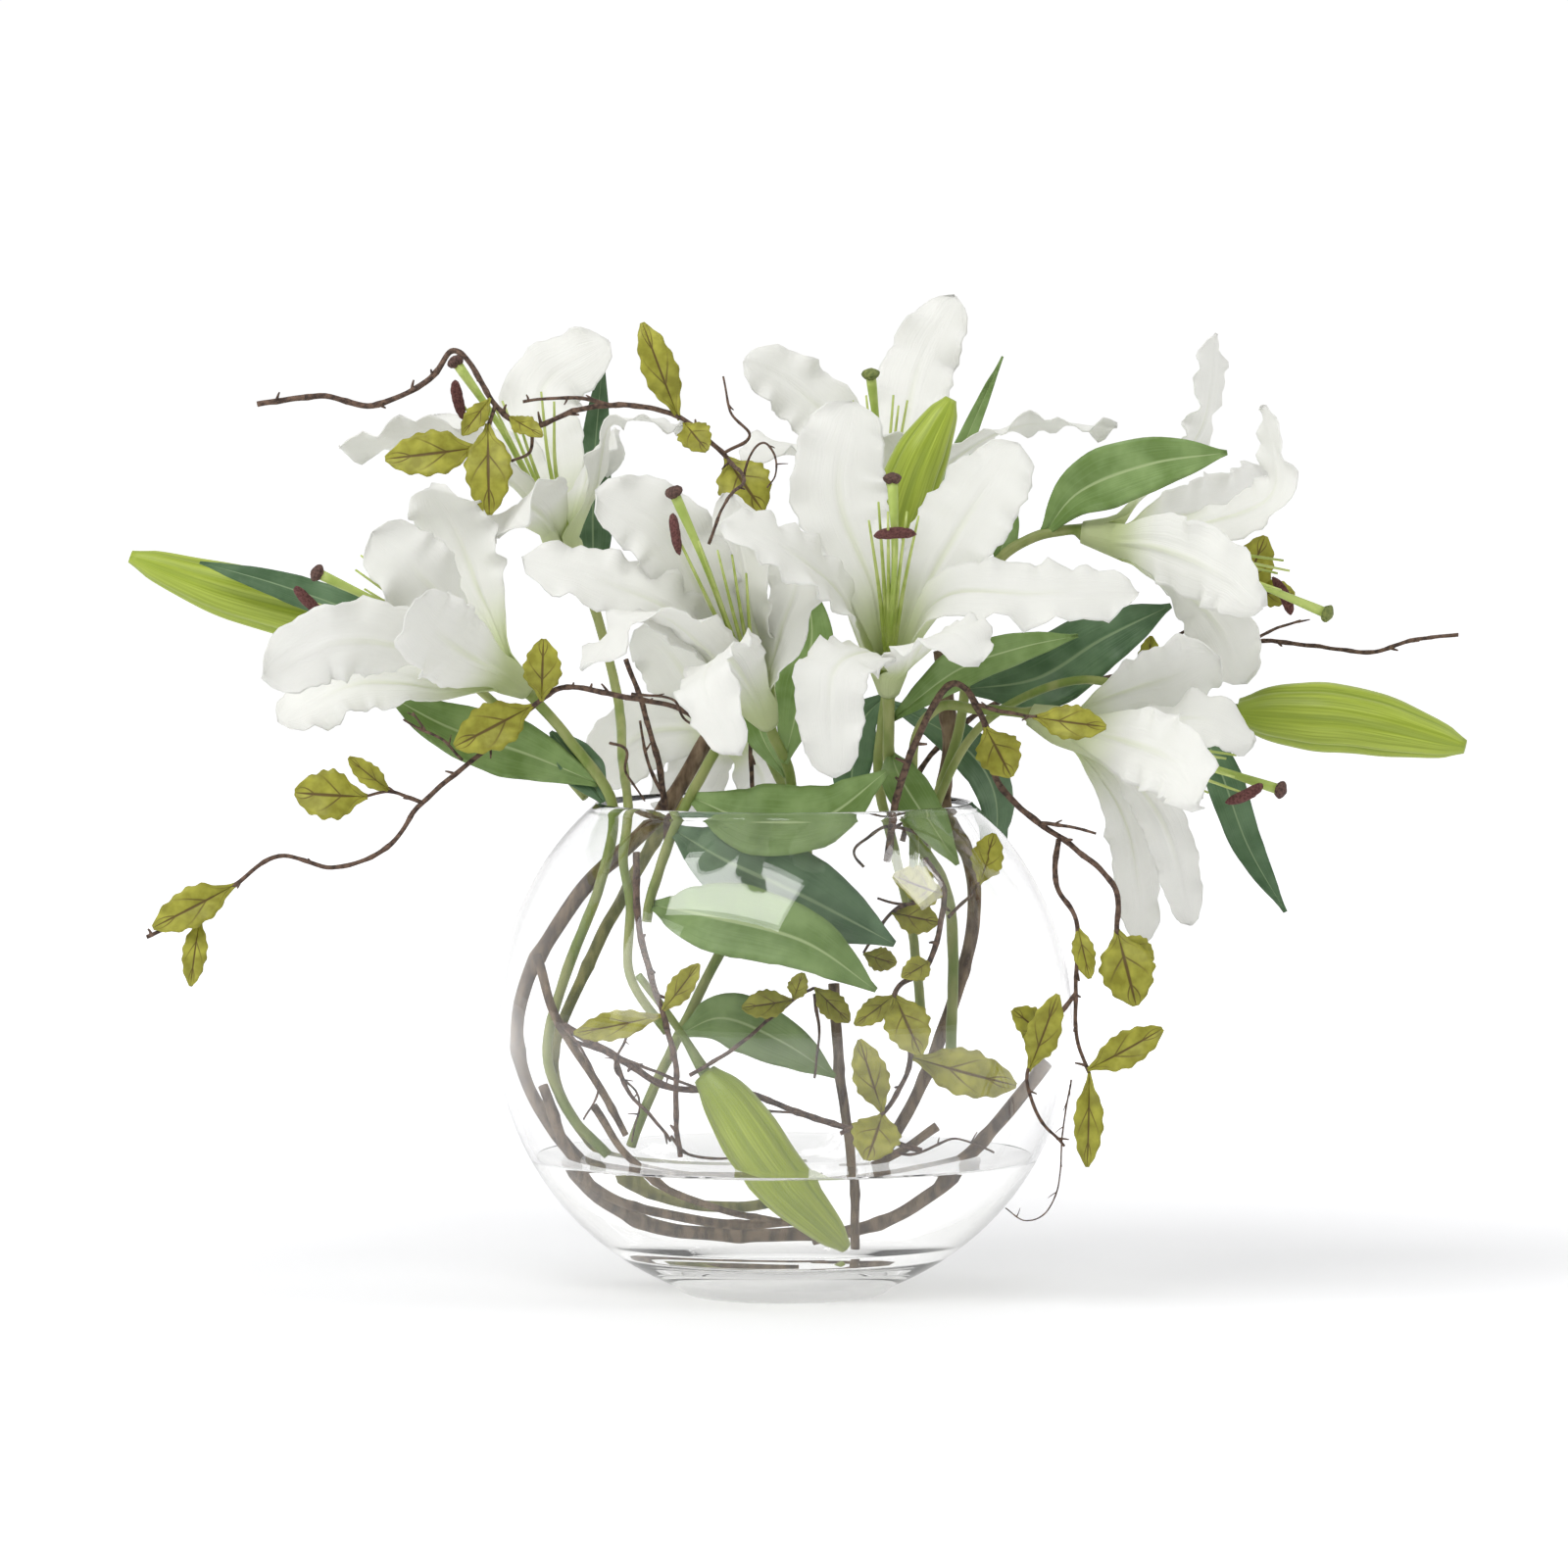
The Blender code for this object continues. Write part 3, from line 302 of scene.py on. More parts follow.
# Curly twigs: a list of (radius, route), the main one first, then small leaves as (width, root, tip)
TWIGS = {
    "top_left": (
        ((1.3, ((-228, 16, 385), (-201, 16, 389), (-178, 16, 385), (-155, 14, 395), (-144, 14, 408),
                (-135, 14, 402),
                (-124, 14, 384), (-109, 10, 376), (-86, -4, 384), (-62, -9, 385), (-43, -8, 379),
                (-26, -8, 364),
                (-18, -4, 351), (-20, 2, 330), (-18, 12, 290), (-15, 18, 245), (-13, 20, 205))),
         (1.0, ((-18, -5, 352), (-26, -12, 342), (-31, -14, 330))),
         (1.0, ((-125, 14, 386), (-128, 8, 376), (-131, 2, 366))),
         (1.0, ((-72, -8, 385), (-91, -12, 389), (-112, -14, 387))),
         (0.9, ((-109, 10, 376), (-110, 3, 365), (-118, 0, 361))),
         (0.8, ((-27, -8, 364), (-15, -14, 372), (-23, -16, 383), (-26, -16, 398)))),
        ((16, (-45, -8, 379), (-61, -12, 421)), (15, (-43, -8, 378), (-33, -20, 366)),
         (24, (-25, -8, 363), (-9, -20, 340)), (21, (-131, 2, 367), (-172, -4, 362)),
         (21, (-128, 8, 377), (-127, -8, 338)), (10, (-119, 13, 380), (-104, -4, 372))),
    ),
    "stub": (
        ((1.5, ((-50, -6, 196), (-54, -8, 230), (-61, -10, 256), (-68, -14, 276))),
         (0.9, ((-52, -7, 216), (-59, -14, 233), (-62, -20, 250)))),
        (),
    ),
    "left": (
        ((1.2, ((-31, -48, 248), (-46, -50, 257), (-67, -44, 261), (-93, -34, 265), (-106, -32, 258),
                (-126, -36, 240), (-155, -44, 216), (-170, -50, 197), (-193, -54, 189), (-216, -56, 194),
                (-234, -60, 182), (-251, -64, 169), (-272, -66, 160))),
         (1.0, ((-155, -44, 216), (-168, -50, 221), (-180, -52, 219)))),
        ((17, (-104, -33, 259), (-103, -38, 286)), (22, (-108, -33, 257), (-141, -44, 240)),
         (23, (-178, -52, 219), (-209, -56, 221)), (10, (-168, -50, 221), (-186, -56, 236)),
         (18, (-234, -60, 182), (-269, -68, 164)), (11, (-249, -64, 169), (-253, -68, 139))),
    ),
    "drooping": (
        ((1.6, ((44, -46, 190), (50, -52, 226), (66, -54, 262), (77, -54, 266), (86, -52, 249),
                (91, -50, 226),
                (105, -53, 211), (126, -59, 196), (141, -63, 181), (142, -63, 160))),
         (1.2, ((117, -57, 201), (116, -64, 183), (125, -70, 165), (124, -73, 138), (125, -75, 117),
                (130, -77, 103))),
         (1.0, ((82, -54, 259), (92, -60, 256), (108, -68, 254))),
         (0.9, ((109, -55, 208), (122, -62, 207), (133, -65, 204))),
         (1.0, ((124, -73, 136), (110, -80, 118), (103, -84, 101), (109, -86, 84), (119, -84, 72)))),
        ((20, (86, -53, 249), (97, -62, 228)), (16, (106, -67, 254), (137, -74, 250)),
         (24, (142, -63, 163), (150, -72, 131)), (12, (142, -63, 160), (158, -60, 150)),
         (10, (125, -70, 165), (130, -78, 143)), (16, (129, -77, 104), (161, -82, 122)),
         (13, (130, -77, 103), (129, -82, 63)), (15, (111, -79, 119), (97, -92, 131)),
         (15, (104, -83, 104), (116, -98, 138))),
    ),
    "far_right": (
        ((1.2, ((52, 50, 192), (60, 54, 225), (90, 62, 252), (130, 74, 262), (176, 78, 270), (204, 66, 280),
                (234, 44, 279), (255, 36, 277), (276, 30, 283), (293, 26, 285))),
         (0.9, ((202, 67, 279), (214, 54, 286), (226, 50, 290)))),
        (),
    ),
    "bowl_left": (
        ((1.5, ((-63, -44, 194), (-62, -48, 165), (-56, -56, 140), (-50, -64, 122), (-46, -68, 104),
                (-46, -66, 84),
                (-44, -62, 66))),),
        ((13, (-51, -62, 126), (-89, -58, 118)), (11, (-52, -62, 127), (-36, -66, 148))),
    ),
    "bowl_right": (
        ((1.4, ((60, -54, 192), (68, -48, 176), (62, -52, 148), (47, -56, 134), (54, -56, 108), (42, -58, 84),
                (24, -60, 76))),
         (0.9, ((68, -48, 176), (52, -46, 172), (40, -42, 174)))),
        ((18, (68, -48, 176), (46, -72, 186)), (11, (62, -52, 148), (50, -66, 142)),
         (20, (47, -56, 134), (58, -72, 110)), (21, (54, -56, 108), (98, -58, 96)),
         (16, (42, -58, 84), (32, -66, 116)), (22, (42, -58, 84), (35, -76, 66)),
         (11, (47, -56, 134), (30, -66, 122))),
    ),
    "bowl_low": (
        ((1.6, ((-94, -40, 120), (-67, -44, 104), (-48, -44, 94), (-17, -36, 91), (8, -36, 82), (34, -36, 74),
                (59, -34, 66))),
         (1.0, ((-72, -43, 106), (-66, -50, 92), (-56, -54, 82), (-48, -54, 72)))),
        (),
    ),
}

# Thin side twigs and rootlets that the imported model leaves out, laid out in the same way
FINE_TWIGS = {
    "behind_right": (
        ((0.8, ((170, 30, 284), (184, 30, 292), (196, 30, 298), (203, 30, 303))),
         (0.7, ((150, 48, 262), (158, 44, 266), (164, 42, 270)))),
        ((18, (198, 30, 300), (209, 24, 328)), (16, (203, 30, 303), (188, 24, 314)),
         (13, (203, 30, 303), (222, 26, 303)), (10, (158, 44, 266), (160, 38, 284))),
    ),
    "top_left_end": (
        ((0.9, ((-24, -10, 362), (-17, -40, 354), (-24, -66, 347), (-28, -74, 338), (-32, -76, 328))),
         (0.6, ((-17, -24, 355), (-14, -30, 366), (-8, -34, 370), (-4, -38, 364), (-4, -42, 356),
                (-7, -44, 351)))),
        ((10, (-127, 12, 388), (-139, 4, 372)),),
    ),
    "left_spur": (
        ((0.7, ((-138, -41, 234), (-146, -43, 243), (-155, -45, 247), (-163, -46, 252))),
         (0.6, ((-154, -45, 247), (-159, -48, 255)))),
        (),
    ),
    "behind_left": (
        ((0.7, ((-65, -50, 263), (-48, -54, 261), (-42, -56, 252), (-33, -56, 246))),
         (0.7, ((-75, -16, 240), (-68, -20, 237), (-68, -20, 227), (-60, -18, 216)))),
        (),
    ),
    "hook": (
        ((0.8, ((62, -30, 196), (57, -30, 201), (44, -32, 204), (35, -34, 199), (30, -36, 193),
                (34, -36, 187))),),
        (),
    ),
    "bowl_middle": (
        ((0.9, ((-40, -56, 100), (-20, -50, 112), (4, -46, 131), (13, -44, 136))),
         (0.8, ((13, -40, 133), (15, -44, 116), (13, -46, 98)))),
        ((13, (4, -46, 131), (-18, -50, 128)), (12, (13, -44, 136), (28, -50, 122)),
         (9, (4, -46, 131), (8, -52, 143))),
    ),
    "bowl_top": (
        ((0.9, ((52, -46, 172), (46, -40, 168), (40, -38, 160), (34, -38, 150))),),
        ((15, (46, -40, 168), (66, -44, 164)), (11, (34, -38, 150), (48, -42, 146))),
    ),
    "rim_right": (
        ((0.8, ((70, -40, 166), (78, -42, 174), (84, -42, 182))),),
        ((15, (83, -42, 180), (90, -46, 203)),),
    ),
    "tendril": (
        ((0.4, ((122, -80, 100), (119, -60, 76), (118, -50, 54), (113, -50, 41), (103, -50, 37),
                (95, -48, 42))),),
        (),
    ),
    "rootlets": (
        ((0.6, ((-95, -44, 121), (-85, -50, 109), (-79, -54, 94), (-85, -52, 81))),
         (0.6, ((-67, -40, 116), (-72, -46, 102), (-62, -48, 90), (-65, -46, 71))),
         (0.8, ((-91, -20, 112), (-67, -30, 104), (-42, -36, 95), (-17, -38, 85), (9, -44, 83))),
         (0.7, ((-48, -54, 74), (-40, -50, 66), (-24, -44, 64), (-6, -40, 68))),
         (0.7, ((36, -30, 70), (54, -26, 64), (74, -22, 70), (90, -20, 64)))),
        (),
    ),
}
# Slim shoots of the bundle that lies on the bottom
FINE_VINES = {
    "bundle_low": (2.3, ((-104, -12, 92), (-92, -8, 62), (-72, 0, 45), (-48, 4, 38), (-20, 6, 34),
                         (6, 8, 35))),
    "bundle_high": (1.7, ((-82, -20, 84), (-70, -24, 66), (-52, -26, 52), (-26, -24, 42), (2, -20, 36))),
    "cut_end": (2.0, ((66, -24, 76), (52, -22, 66), (36, -20, 58), (24, -18, 56))),
}

# Blooms that have lost their last anther
BARE_BLOOMS = ("top",)
GREEN_STIGMAS = ("top", "right")
# Which leaves of a stem or bud, counted from 0, are of the darker cloth
DARK_LEAVES = {"left": (1,), "bud left": (0,), "bud right": (0,), "back_left": (0,), "top": (0, 1),
               "leafy": (1,), "right": (2,)}
OLIVE_VINES = ("second",)


# ---------------------------------------------------------------- shape tools
def smooth_step(share):
    """0 to 1 with a soft start and end."""
    share = min(1.0, max(0.0, share))
    return share * share * (3.0 - 2.0 * share)


def along(table, share):
    """Reads an outline of (share of the length, value), rounding off the corners between its points."""
    total = 0.0
    shifts = (-0.05, -0.025, 0.0, 0.025, 0.05)
    for shift in shifts:
        at = min(1.0, max(0.0, share + shift))
        for (s0, v0), (s1, v1) in zip(table, table[1:]):
            if at <= s1:
                total += v0 + (v1 - v0) * (at - s0) / (s1 - s0)
                break
    return total / len(shifts)


def smooth_route(route, steps):
    """Catmull-Rom points through a route."""
    points = [Vector(point) for point in route]
    ends = [2 * points[0] - points[1]] + points + [2 * points[-1] - points[-2]]
    out = []
    for before, start, end, after in zip(ends, ends[1:], ends[2:], ends[3:]):
        for k in range(steps):
            t = k / steps
            bend = (2 * before - 5 * start + 4 * end - after) * t**2
            twist = (3 * start - before - 3 * end + after) * t**3
            out.append(0.5 * (2 * start + (end - before) * t + bend + twist))
    out.append(points[-1])
    return out


def route_length(points):
    """The length of a broken line."""
    return sum((b - a).length for a, b in zip(points, points[1:]))


def even_route(route, count):
    """count + 1 points spaced evenly along the smoothed route."""
    dense = smooth_route(route, 24)
    reach = [0.0]
    for a, b in zip(dense, dense[1:]):
        reach.append(reach[-1] + (b - a).length)
    out = []
    i = 1
    for k in range(count + 1):
        goal = reach[-1] * k / count
        while i < len(reach) - 1 and reach[i] < goal - 1e-9:
            i += 1
        part = (goal - reach[i - 1]) / (reach[i] - reach[i - 1])
        out.append(dense[i - 1].lerp(dense[i], part))
    return out


def carry_side(points, side):
    """The tangent and the width direction at each point, carried along the route without twisting."""
    out = []
    for i in range(len(points)):
        tangent = (points[min(i + 1, len(points) - 1)] - points[max(i - 1, 0)]).normalized()
        side = (side - side.dot(tangent) * tangent).normalized()
        out.append((tangent, side))
    return out


def any_side(direction):
    """Some direction across the given one."""
    side = direction.cross(Vector((0.0, 0.0, 1.0)))
    return side if side.length > 0.1 else direction.cross(Vector((1.0, 0.0, 0.0)))


class Shape:
    """Points, faces and face-corner UVs of one piece, built up from grids."""

    def __init__(self):
        self.points = []
        self.faces = []
        self.uvs = []

    def grid(self, rows, across=None, closed=False):
        """Adds rows of points as quads. U runs across a row and V from the first row to the last."""
        first = len(self.points)
        count = len(rows[0])
        spans = count if closed else count - 1
        across = across or [j / spans for j in range(spans + 1)]
        for row in rows:
            self.points.extend(row)
        for i in range(len(rows) - 1):
            v0, v1 = ((i + k) / (len(rows) - 1) for k in (0, 1))
            start = first + i * count
            for j in range(spans):
                k = (j + 1) % count
                self.faces.append((start + j, start + k, start + count + k, start + count + j))
                self.uvs += [(across[j], v0), (across[j + 1], v0), (across[j + 1], v1), (across[j], v1)]
        if closed:
            last = first + (len(rows) - 1) * count
            self.faces.append(tuple(first + j for j in reversed(range(count))))
            self.faces.append(tuple(last + j for j in range(count)))
            self.uvs += [(0.5, 0.0)] * count + [(0.5, 1.0)] * count

    def tube(self, points, radii, sides, section=None, side=None):
        """Adds a closed round body along the points. section(angle, share) scales its radius."""
        rows = []
        side = side or any_side(points[1] - points[0])
        last = len(points) - 1
        for i, (tangent, across) in enumerate(carry_side(points, side)):
            up = tangent.cross(across)
            row = []
            for k in range(sides):
                angle = k * math.tau / sides
                radius = radii[i] * (section(angle, i / last) if section else 1.0)
                row.append(points[i] + radius * (across * math.cos(angle) + up * math.sin(angle)))
            rows.append(row)
        self.grid(rows, closed=True)

    def roughen(self, first, size, depth):
        """Moves the points from index first on by smooth noise with lumps of this size."""
        for i in range(first, len(self.points)):
            point = self.points[i]
            self.points[i] = point + noise.noise_vector(point / size) * depth


def mesh_piece(name, shape, material, nodes=(), thickness=0.0):
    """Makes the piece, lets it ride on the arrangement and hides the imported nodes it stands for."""
    mesh = bpy.data.meshes.new(name)
    mesh.from_pydata([point * MM for point in shape.points], [], shape.faces)
    layer = mesh.uv_layers.new(name="UVMap")
    layer.data.foreach_set("uv", [value for pair in shape.uvs for value in pair])
    mesh.polygons.foreach_set("use_smooth", [True] * len(mesh.polygons))
    mesh.materials.append(material)
    mesh.update()
    piece = bpy.data.objects.new(name, mesh)
    bpy.context.scene.collection.objects.link(piece)
    if thickness:
        wall = piece.modifiers.new("Thickness", "SOLIDIFY")
        wall.thickness = thickness * MM
        wall.offset = 0.0
    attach(piece, "root")
    if nodes:
        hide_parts(*nodes)


# ---------------------------------------------------------------- material tools
# The usual bend of light in a plastic or latex coat
COAT_IOR = 1.45


def colour(code):
    """A colour given as an sRGB hex code, as linear RGBA."""
    parts = [int(code[i : i + 2], 16) / 255 for i in (0, 2, 4)]
    return (*((p / 12.92 if p <= 0.04045 else ((p + 0.055) / 1.055) ** 2.4) for p in parts), 1.0)


def add_node(tree, kind, inputs=None, **settings):
    """Adds a node; each input takes a value, the socket that feeds it, or a node for its first output.

    Numbered inputs: a Map Range has the value at 0, the range it comes from at 1 and 2 and the one it goes
    to at 3 and 4. A colour Mix has the share at 0, its colours at 6 and 7, and gives the mix at output 2.
    A Mapping has its scale at 3."""
    node = tree.nodes.new("ShaderNode" + kind)
    for key, value in settings.items():
        setattr(node, key, value)
    for key, value in (inputs or {}).items():
        if isinstance(value, bpy.types.Node):
            value = value.outputs[0]
        if isinstance(value, bpy.types.NodeSocket):
            tree.links.new(value, node.inputs[key])
        else:
            node.inputs[key].default_value = value
    return node


def new_material(name):
    """An empty material, its node tree and its output node."""
    material = bpy.data.materials.new(name)
    material.use_nodes = True
    tree = material.node_tree
    tree.nodes.clear()
    return material, tree, add_node(tree, "OutputMaterial")


def sheet_places(tree):
    """The UV of a petal or leaf, its parts (0 across, 1 lengthwise) and the distance off the midrib."""
    uv = add_node(tree, "UVMap", uv_map="UVMap")
    split = add_node(tree, "SeparateXYZ", {0: uv})
    off_middle = add_node(tree, "Math", {0: split, 1: 0.5}, operation="SUBTRACT")
    return uv, split, add_node(tree, "Math", {0: off_middle}, operation="ABSOLUTE")


def lengthwise_lines(tree, uv, across, lengthwise):
    """Uneven fine lines along a petal, leaf or bud, so many over its width and over its length."""
    stretch = add_node(tree, "Mapping", {0: uv, 3: (across, lengthwise, 1.0)})
    return add_node(tree, "TexNoise", {"Vector": stretch, "Scale": 1.0, "Detail": 2.0})


def patches(tree, scale, detail):
    """Smooth patches in the piece's own space; scale is 1000 over their size in mm."""
    place = add_node(tree, "TexCoord")
    return add_node(tree, "TexNoise", {"Vector": place.outputs["Object"], "Scale": scale, "Detail": detail})


def close_sheet(tree, output, skin, relief, roughness, passing, glow_inputs):
    """Ends the material of a thin sheet: a satin face, and the share of the light that passes through."""
    face = add_node(tree, "BsdfPrincipled",
                    {"Base Color": skin, "Roughness": roughness, "IOR": COAT_IOR, "Normal": relief})
    glow = add_node(tree, "BsdfTranslucent", {"Color": skin, **glow_inputs})
    both = add_node(tree, "MixShader", {0: passing, 1: face, 2: glow})
    tree.links.new(both.outputs[0], output.inputs[0])


def coated_petal_cloth():
    """White polyester petals, heat-pressed and dipped in latex: soft matt white, light glows through them,
    the throat is sprayed green and the press leaves fine lengthwise veins."""
    material, tree, output = new_material("coated petal cloth")
    uv, split, off_middle = sheet_places(tree)
    throat = add_node(tree, "MapRange", {0: split.outputs[1], 1: 0.06, 2: 0.45, 3: 0.72, 4: 0.0},
                      interpolation_type="SMOOTHSTEP")
    rib = add_node(tree, "MapRange", {0: off_middle, 1: 0.0, 2: 0.07, 3: 1.0, 4: 0.0},
                   interpolation_type="SMOOTHSTEP")
    rib_reach = add_node(tree, "MapRange", {0: split.outputs[1], 1: 0.25, 2: 0.8, 3: 0.32, 4: 0.0})
    rib_green = add_node(tree, "Math", {0: rib, 1: rib_reach}, operation="MULTIPLY")
    green = add_node(tree, "Math", {0: throat, 1: rib_green}, operation="MAXIMUM")
    # Soft clouding of the coat, about 20 mm across
    cloud = patches(tree, 50.0, 2.0)
    white = add_node(tree, "Mix", {0: cloud, 6: colour("F0F0EC"), 7: colour("F8F8F5")}, data_type="RGBA")
    skin = add_node(tree, "Mix", {0: green, 6: white.outputs[2], 7: colour("CBD88A")}, data_type="RGBA")
    # Pressed veins run lengthwise, about 0.8 mm apart on a 36 mm petal
    veins = lengthwise_lines(tree, uv, 42.0, 2.5)
    relief = add_node(tree, "Bump", {"Height": veins, "Strength": 0.5, "Distance": 0.0006})
    close_sheet(tree, output, skin.outputs[2], relief, 0.5, 0.42, {"Normal": relief})
    return material


def pressed_leaf_cloth(name, deep, light, rib_tone):
    """Polyester leaf printed green and heat-pressed: satin, a pale midrib and fine parallel veins."""
    material, tree, output = new_material(name)
    uv, _, off_middle = sheet_places(tree)
    rib = add_node(tree, "MapRange", {0: off_middle, 1: 0.012, 2: 0.035, 3: 0.75, 4: 0.0},
                   interpolation_type="SMOOTHSTEP")
    # Uneven dye, in patches of about 15 mm
    patch = add_node(tree, "MapRange", {0: patches(tree, 65.0, 3.0), 1: 0.35, 2: 0.65, 3: 0.0, 4: 1.0})
    ground = add_node(tree, "Mix", {0: patch, 6: colour(deep), 7: colour(light)}, data_type="RGBA")
    # Parallel veins about 1 mm apart across a 26 mm leaf
    veins = lengthwise_lines(tree, uv, 26.0, 1.2)
    lines = add_node(tree, "MapRange", {0: veins, 1: 0.5, 2: 0.7, 3: 0.0, 4: 0.4})
    veined = add_node(tree, "Mix", {0: lines, 6: ground.outputs[2], 7: colour(light)}, data_type="RGBA")
    skin = add_node(tree, "Mix", {0: rib, 6: veined.outputs[2], 7: colour(rib_tone)}, data_type="RGBA")
    relief = add_node(tree, "Bump", {"Height": veins, "Strength": 0.5, "Distance": 0.0006})
    close_sheet(tree, output, skin.outputs[2], relief, 0.42, 0.15, {})
    return material


def printed_small_leaf():
    """Small polyester leaf printed yellow-green, with brown veins that branch off a brown midrib."""
    material, tree, output = new_material("printed small leaf")
    _, split, off_middle = sheet_places(tree)
    rib = add_node(tree, "MapRange", {0: off_middle, 1: 0.015, 2: 0.05, 3: 0.9, 4: 0.0},
                   interpolation_type="SMOOTHSTEP")
    # Side veins that lean towards the tip, a pair for each beat of 0.36 of the length
    lean = add_node(tree, "Math", {0: off_middle, 1: -0.75, 2: split.outputs[1]}, operation="MULTIPLY_ADD")
    beat = add_node(tree, "Math", {0: lean, 1: 5.5}, operation="MULTIPLY")
    beat = add_node(tree, "Math", {0: beat, 1: 1.0}, operation="PINGPONG")
    vein = add_node(tree, "MapRange", {0: beat, 1: 0.04, 2: 0.13, 3: 0.75, 4: 0.0},
                    interpolation_type="SMOOTHSTEP")
    fade = add_node(tree, "MapRange", {0: off_middle, 1: 0.15, 2: 0.42, 3: 1.0, 4: 0.1})
    vein = add_node(tree, "Math", {0: vein, 1: fade}, operation="MULTIPLY")
    brown = add_node(tree, "Math", {0: vein, 1: rib}, operation="MAXIMUM")
    # Mottled print, in spots of about 5 mm
    patch = add_node(tree, "MapRange", {0: patches(tree, 180.0, 3.0), 1: 0.35, 2: 0.7, 3: 0.0, 4: 1.0})
    ground = add_node(tree, "Mix", {0: patch, 6: colour("93902E"), 7: colour("B7B546")}, data_type="RGBA")
    skin = add_node(tree, "Mix", {0: brown, 6: ground.outputs[2], 7: colour("5E4420")}, data_type="RGBA")
    relief = add_node(tree, "Bump", {"Height": brown, "Strength": 0.4, "Distance": 0.0005}, invert=True)
    close_sheet(tree, output, skin.outputs[2], relief, 0.5, 0.25, {})
    return material


def lime_bud_skin():
    """Bud cast in soft foam and dipped in lime latex: satin, ribbed lengthwise, greener in the seams and
    at the foot."""
    material, tree, output = new_material("lime bud skin")
    uv = add_node(tree, "UVMap", uv_map="UVMap")
    split = add_node(tree, "SeparateXYZ", {0: uv})
    beat = add_node(tree, "Math", {0: split, 1: 6.0}, operation="MULTIPLY")
    beat = add_node(tree, "Math", {0: beat, 1: 0.5}, operation="PINGPONG")
    seam = add_node(tree, "MapRange", {0: beat, 1: 0.0, 2: 0.16, 3: 0.4, 4: 0.0},
                    interpolation_type="SMOOTHSTEP")
    foot = add_node(tree, "MapRange", {0: split.outputs[1], 1: 0.0, 2: 0.3, 3: 0.6, 4: 0.0})
    deep = add_node(tree, "Math", {0: seam, 1: foot}, operation="MAXIMUM")
    # Fine lengthwise streaks, about 1 mm apart round a 30 mm bud
    streaks = lengthwise_lines(tree, uv, 90.0, 2.0)
    tint = add_node(tree, "MapRange", {0: streaks, 1: 0.4, 2: 0.65, 3: 0.0, 4: 1.0})
    ground = add_node(tree, "Mix", {0: tint, 6: colour("8C9D2F"), 7: colour("A6B644")}, data_type="RGBA")
    skin = add_node(tree, "Mix", {0: deep, 6: ground.outputs[2], 7: colour("788C2E")}, data_type="RGBA")
    relief = add_node(tree, "Bump", {"Height": streaks, "Strength": 0.25, "Distance": 0.0006})
    face = add_node(tree, "BsdfPrincipled",
                    {"Base Color": skin.outputs[2], "Roughness": 0.4, "IOR": COAT_IOR, "Normal": relief})
    tree.links.new(face.outputs[0], output.inputs[0])
    return material


def mottled_skin(name, first, second, patch_mm, roughness, relief_mm, stretch_to=(1.0, 1.0, 1.0)):
    """Moulded or wrapped plastic stalk, bark or pollen: two tones in patches of a real size, with the same
    patches as relief."""
    material, tree, output = new_material(name)
    place = add_node(tree, "TexCoord")
    stretch = add_node(tree, "Mapping", {0: place.outputs["Object"], 3: stretch_to})
    patch = add_node(tree, "TexNoise", {"Vector": stretch, "Scale": 1000 / patch_mm, "Detail": 4.0})
    tint = add_node(tree, "MapRange", {0: patch, 1: 0.38, 2: 0.62, 3: 0.0, 4: 1.0})
    skin = add_node(tree, "Mix", {0: tint, 6: colour(first), 7: colour(second)}, data_type="RGBA")
    relief = add_node(tree, "Bump", {"Height": patch, "Strength": 0.6, "Distance": relief_mm * MM})
    face = add_node(tree, "BsdfPrincipled",
                    {"Base Color": skin.outputs[2], "Roughness": roughness, "IOR": COAT_IOR,
                     "Normal": relief})
    tree.links.new(face.outputs[0], output.inputs[0])
    return material


def clear_body(name, tone, ior):
    """Blown glass or still water: clear and smooth, bends what is behind it and lets daylight through to
    what stands inside, so shadows pass it."""
    material, tree, output = new_material(name)
    # The slow waves that blowing leaves, about 40 mm long and too slight to feel
    relief = add_node(tree, "Bump", {"Height": patches(tree, 25.0, 0.0), "Strength": 0.2, "Distance": 0.001})
    body = add_node(tree, "BsdfPrincipled",
                    {"Base Color": colour(tone), "Roughness": 0.0, "IOR": ior, "Transmission Weight": 1.0,
                     "Normal": relief})
    passing = add_node(tree, "BsdfTransparent", {"Color": colour(tone)})
    ray = add_node(tree, "LightPath")
    lit = add_node(tree, "Math", {0: ray.outputs["Is Shadow Ray"], 1: ray.outputs["Is Diffuse Ray"]},
                   operation="MAXIMUM")
    both = add_node(tree, "MixShader", {0: lit, 1: body, 2: passing})
    tree.links.new(both.outputs[0], output.inputs[0])
    return material


# ---------------------------------------------------------------- bowl and water
def ellipse_radius(height):
    """The bowl's outer radius."""
    reach = LOWER_REACH if height < WIDEST_HEIGHT else UPPER_REACH
    return BOWL_RADIUS * math.sqrt(max(0.0, 1 - ((height - WIDEST_HEIGHT) / reach) ** 2))


def inner_radius(height):
    """The bowl's inner radius: the wall thins towards the rim."""
    thinning = max(0.0, height - WIDEST_HEIGHT) / (MOUTH_HEIGHT - WIDEST_HEIGHT)
    return ellipse_radius(height) - WALL + (WALL - RIM_WALL) * thinning


def turned(profile):
    """A closed body turned about Z from a profile of (radius, height) that starts and ends on the axis."""
    shape = Shape()
    rows = []
    for radius, height in profile:
        radius = max(radius, 0.01)
        turns = [a * math.tau / BOWL_STEPS for a in range(BOWL_STEPS)]
        rows.append([Vector((radius * math.cos(t), radius * math.sin(t), height)) for t in turns])
    shape.grid(rows, closed=True)
    return shape


def heights_between(low, high, count):
    """count + 1 heights, both ends among them."""
    return [low + (high - low) * k / count for k in range(count + 1)]


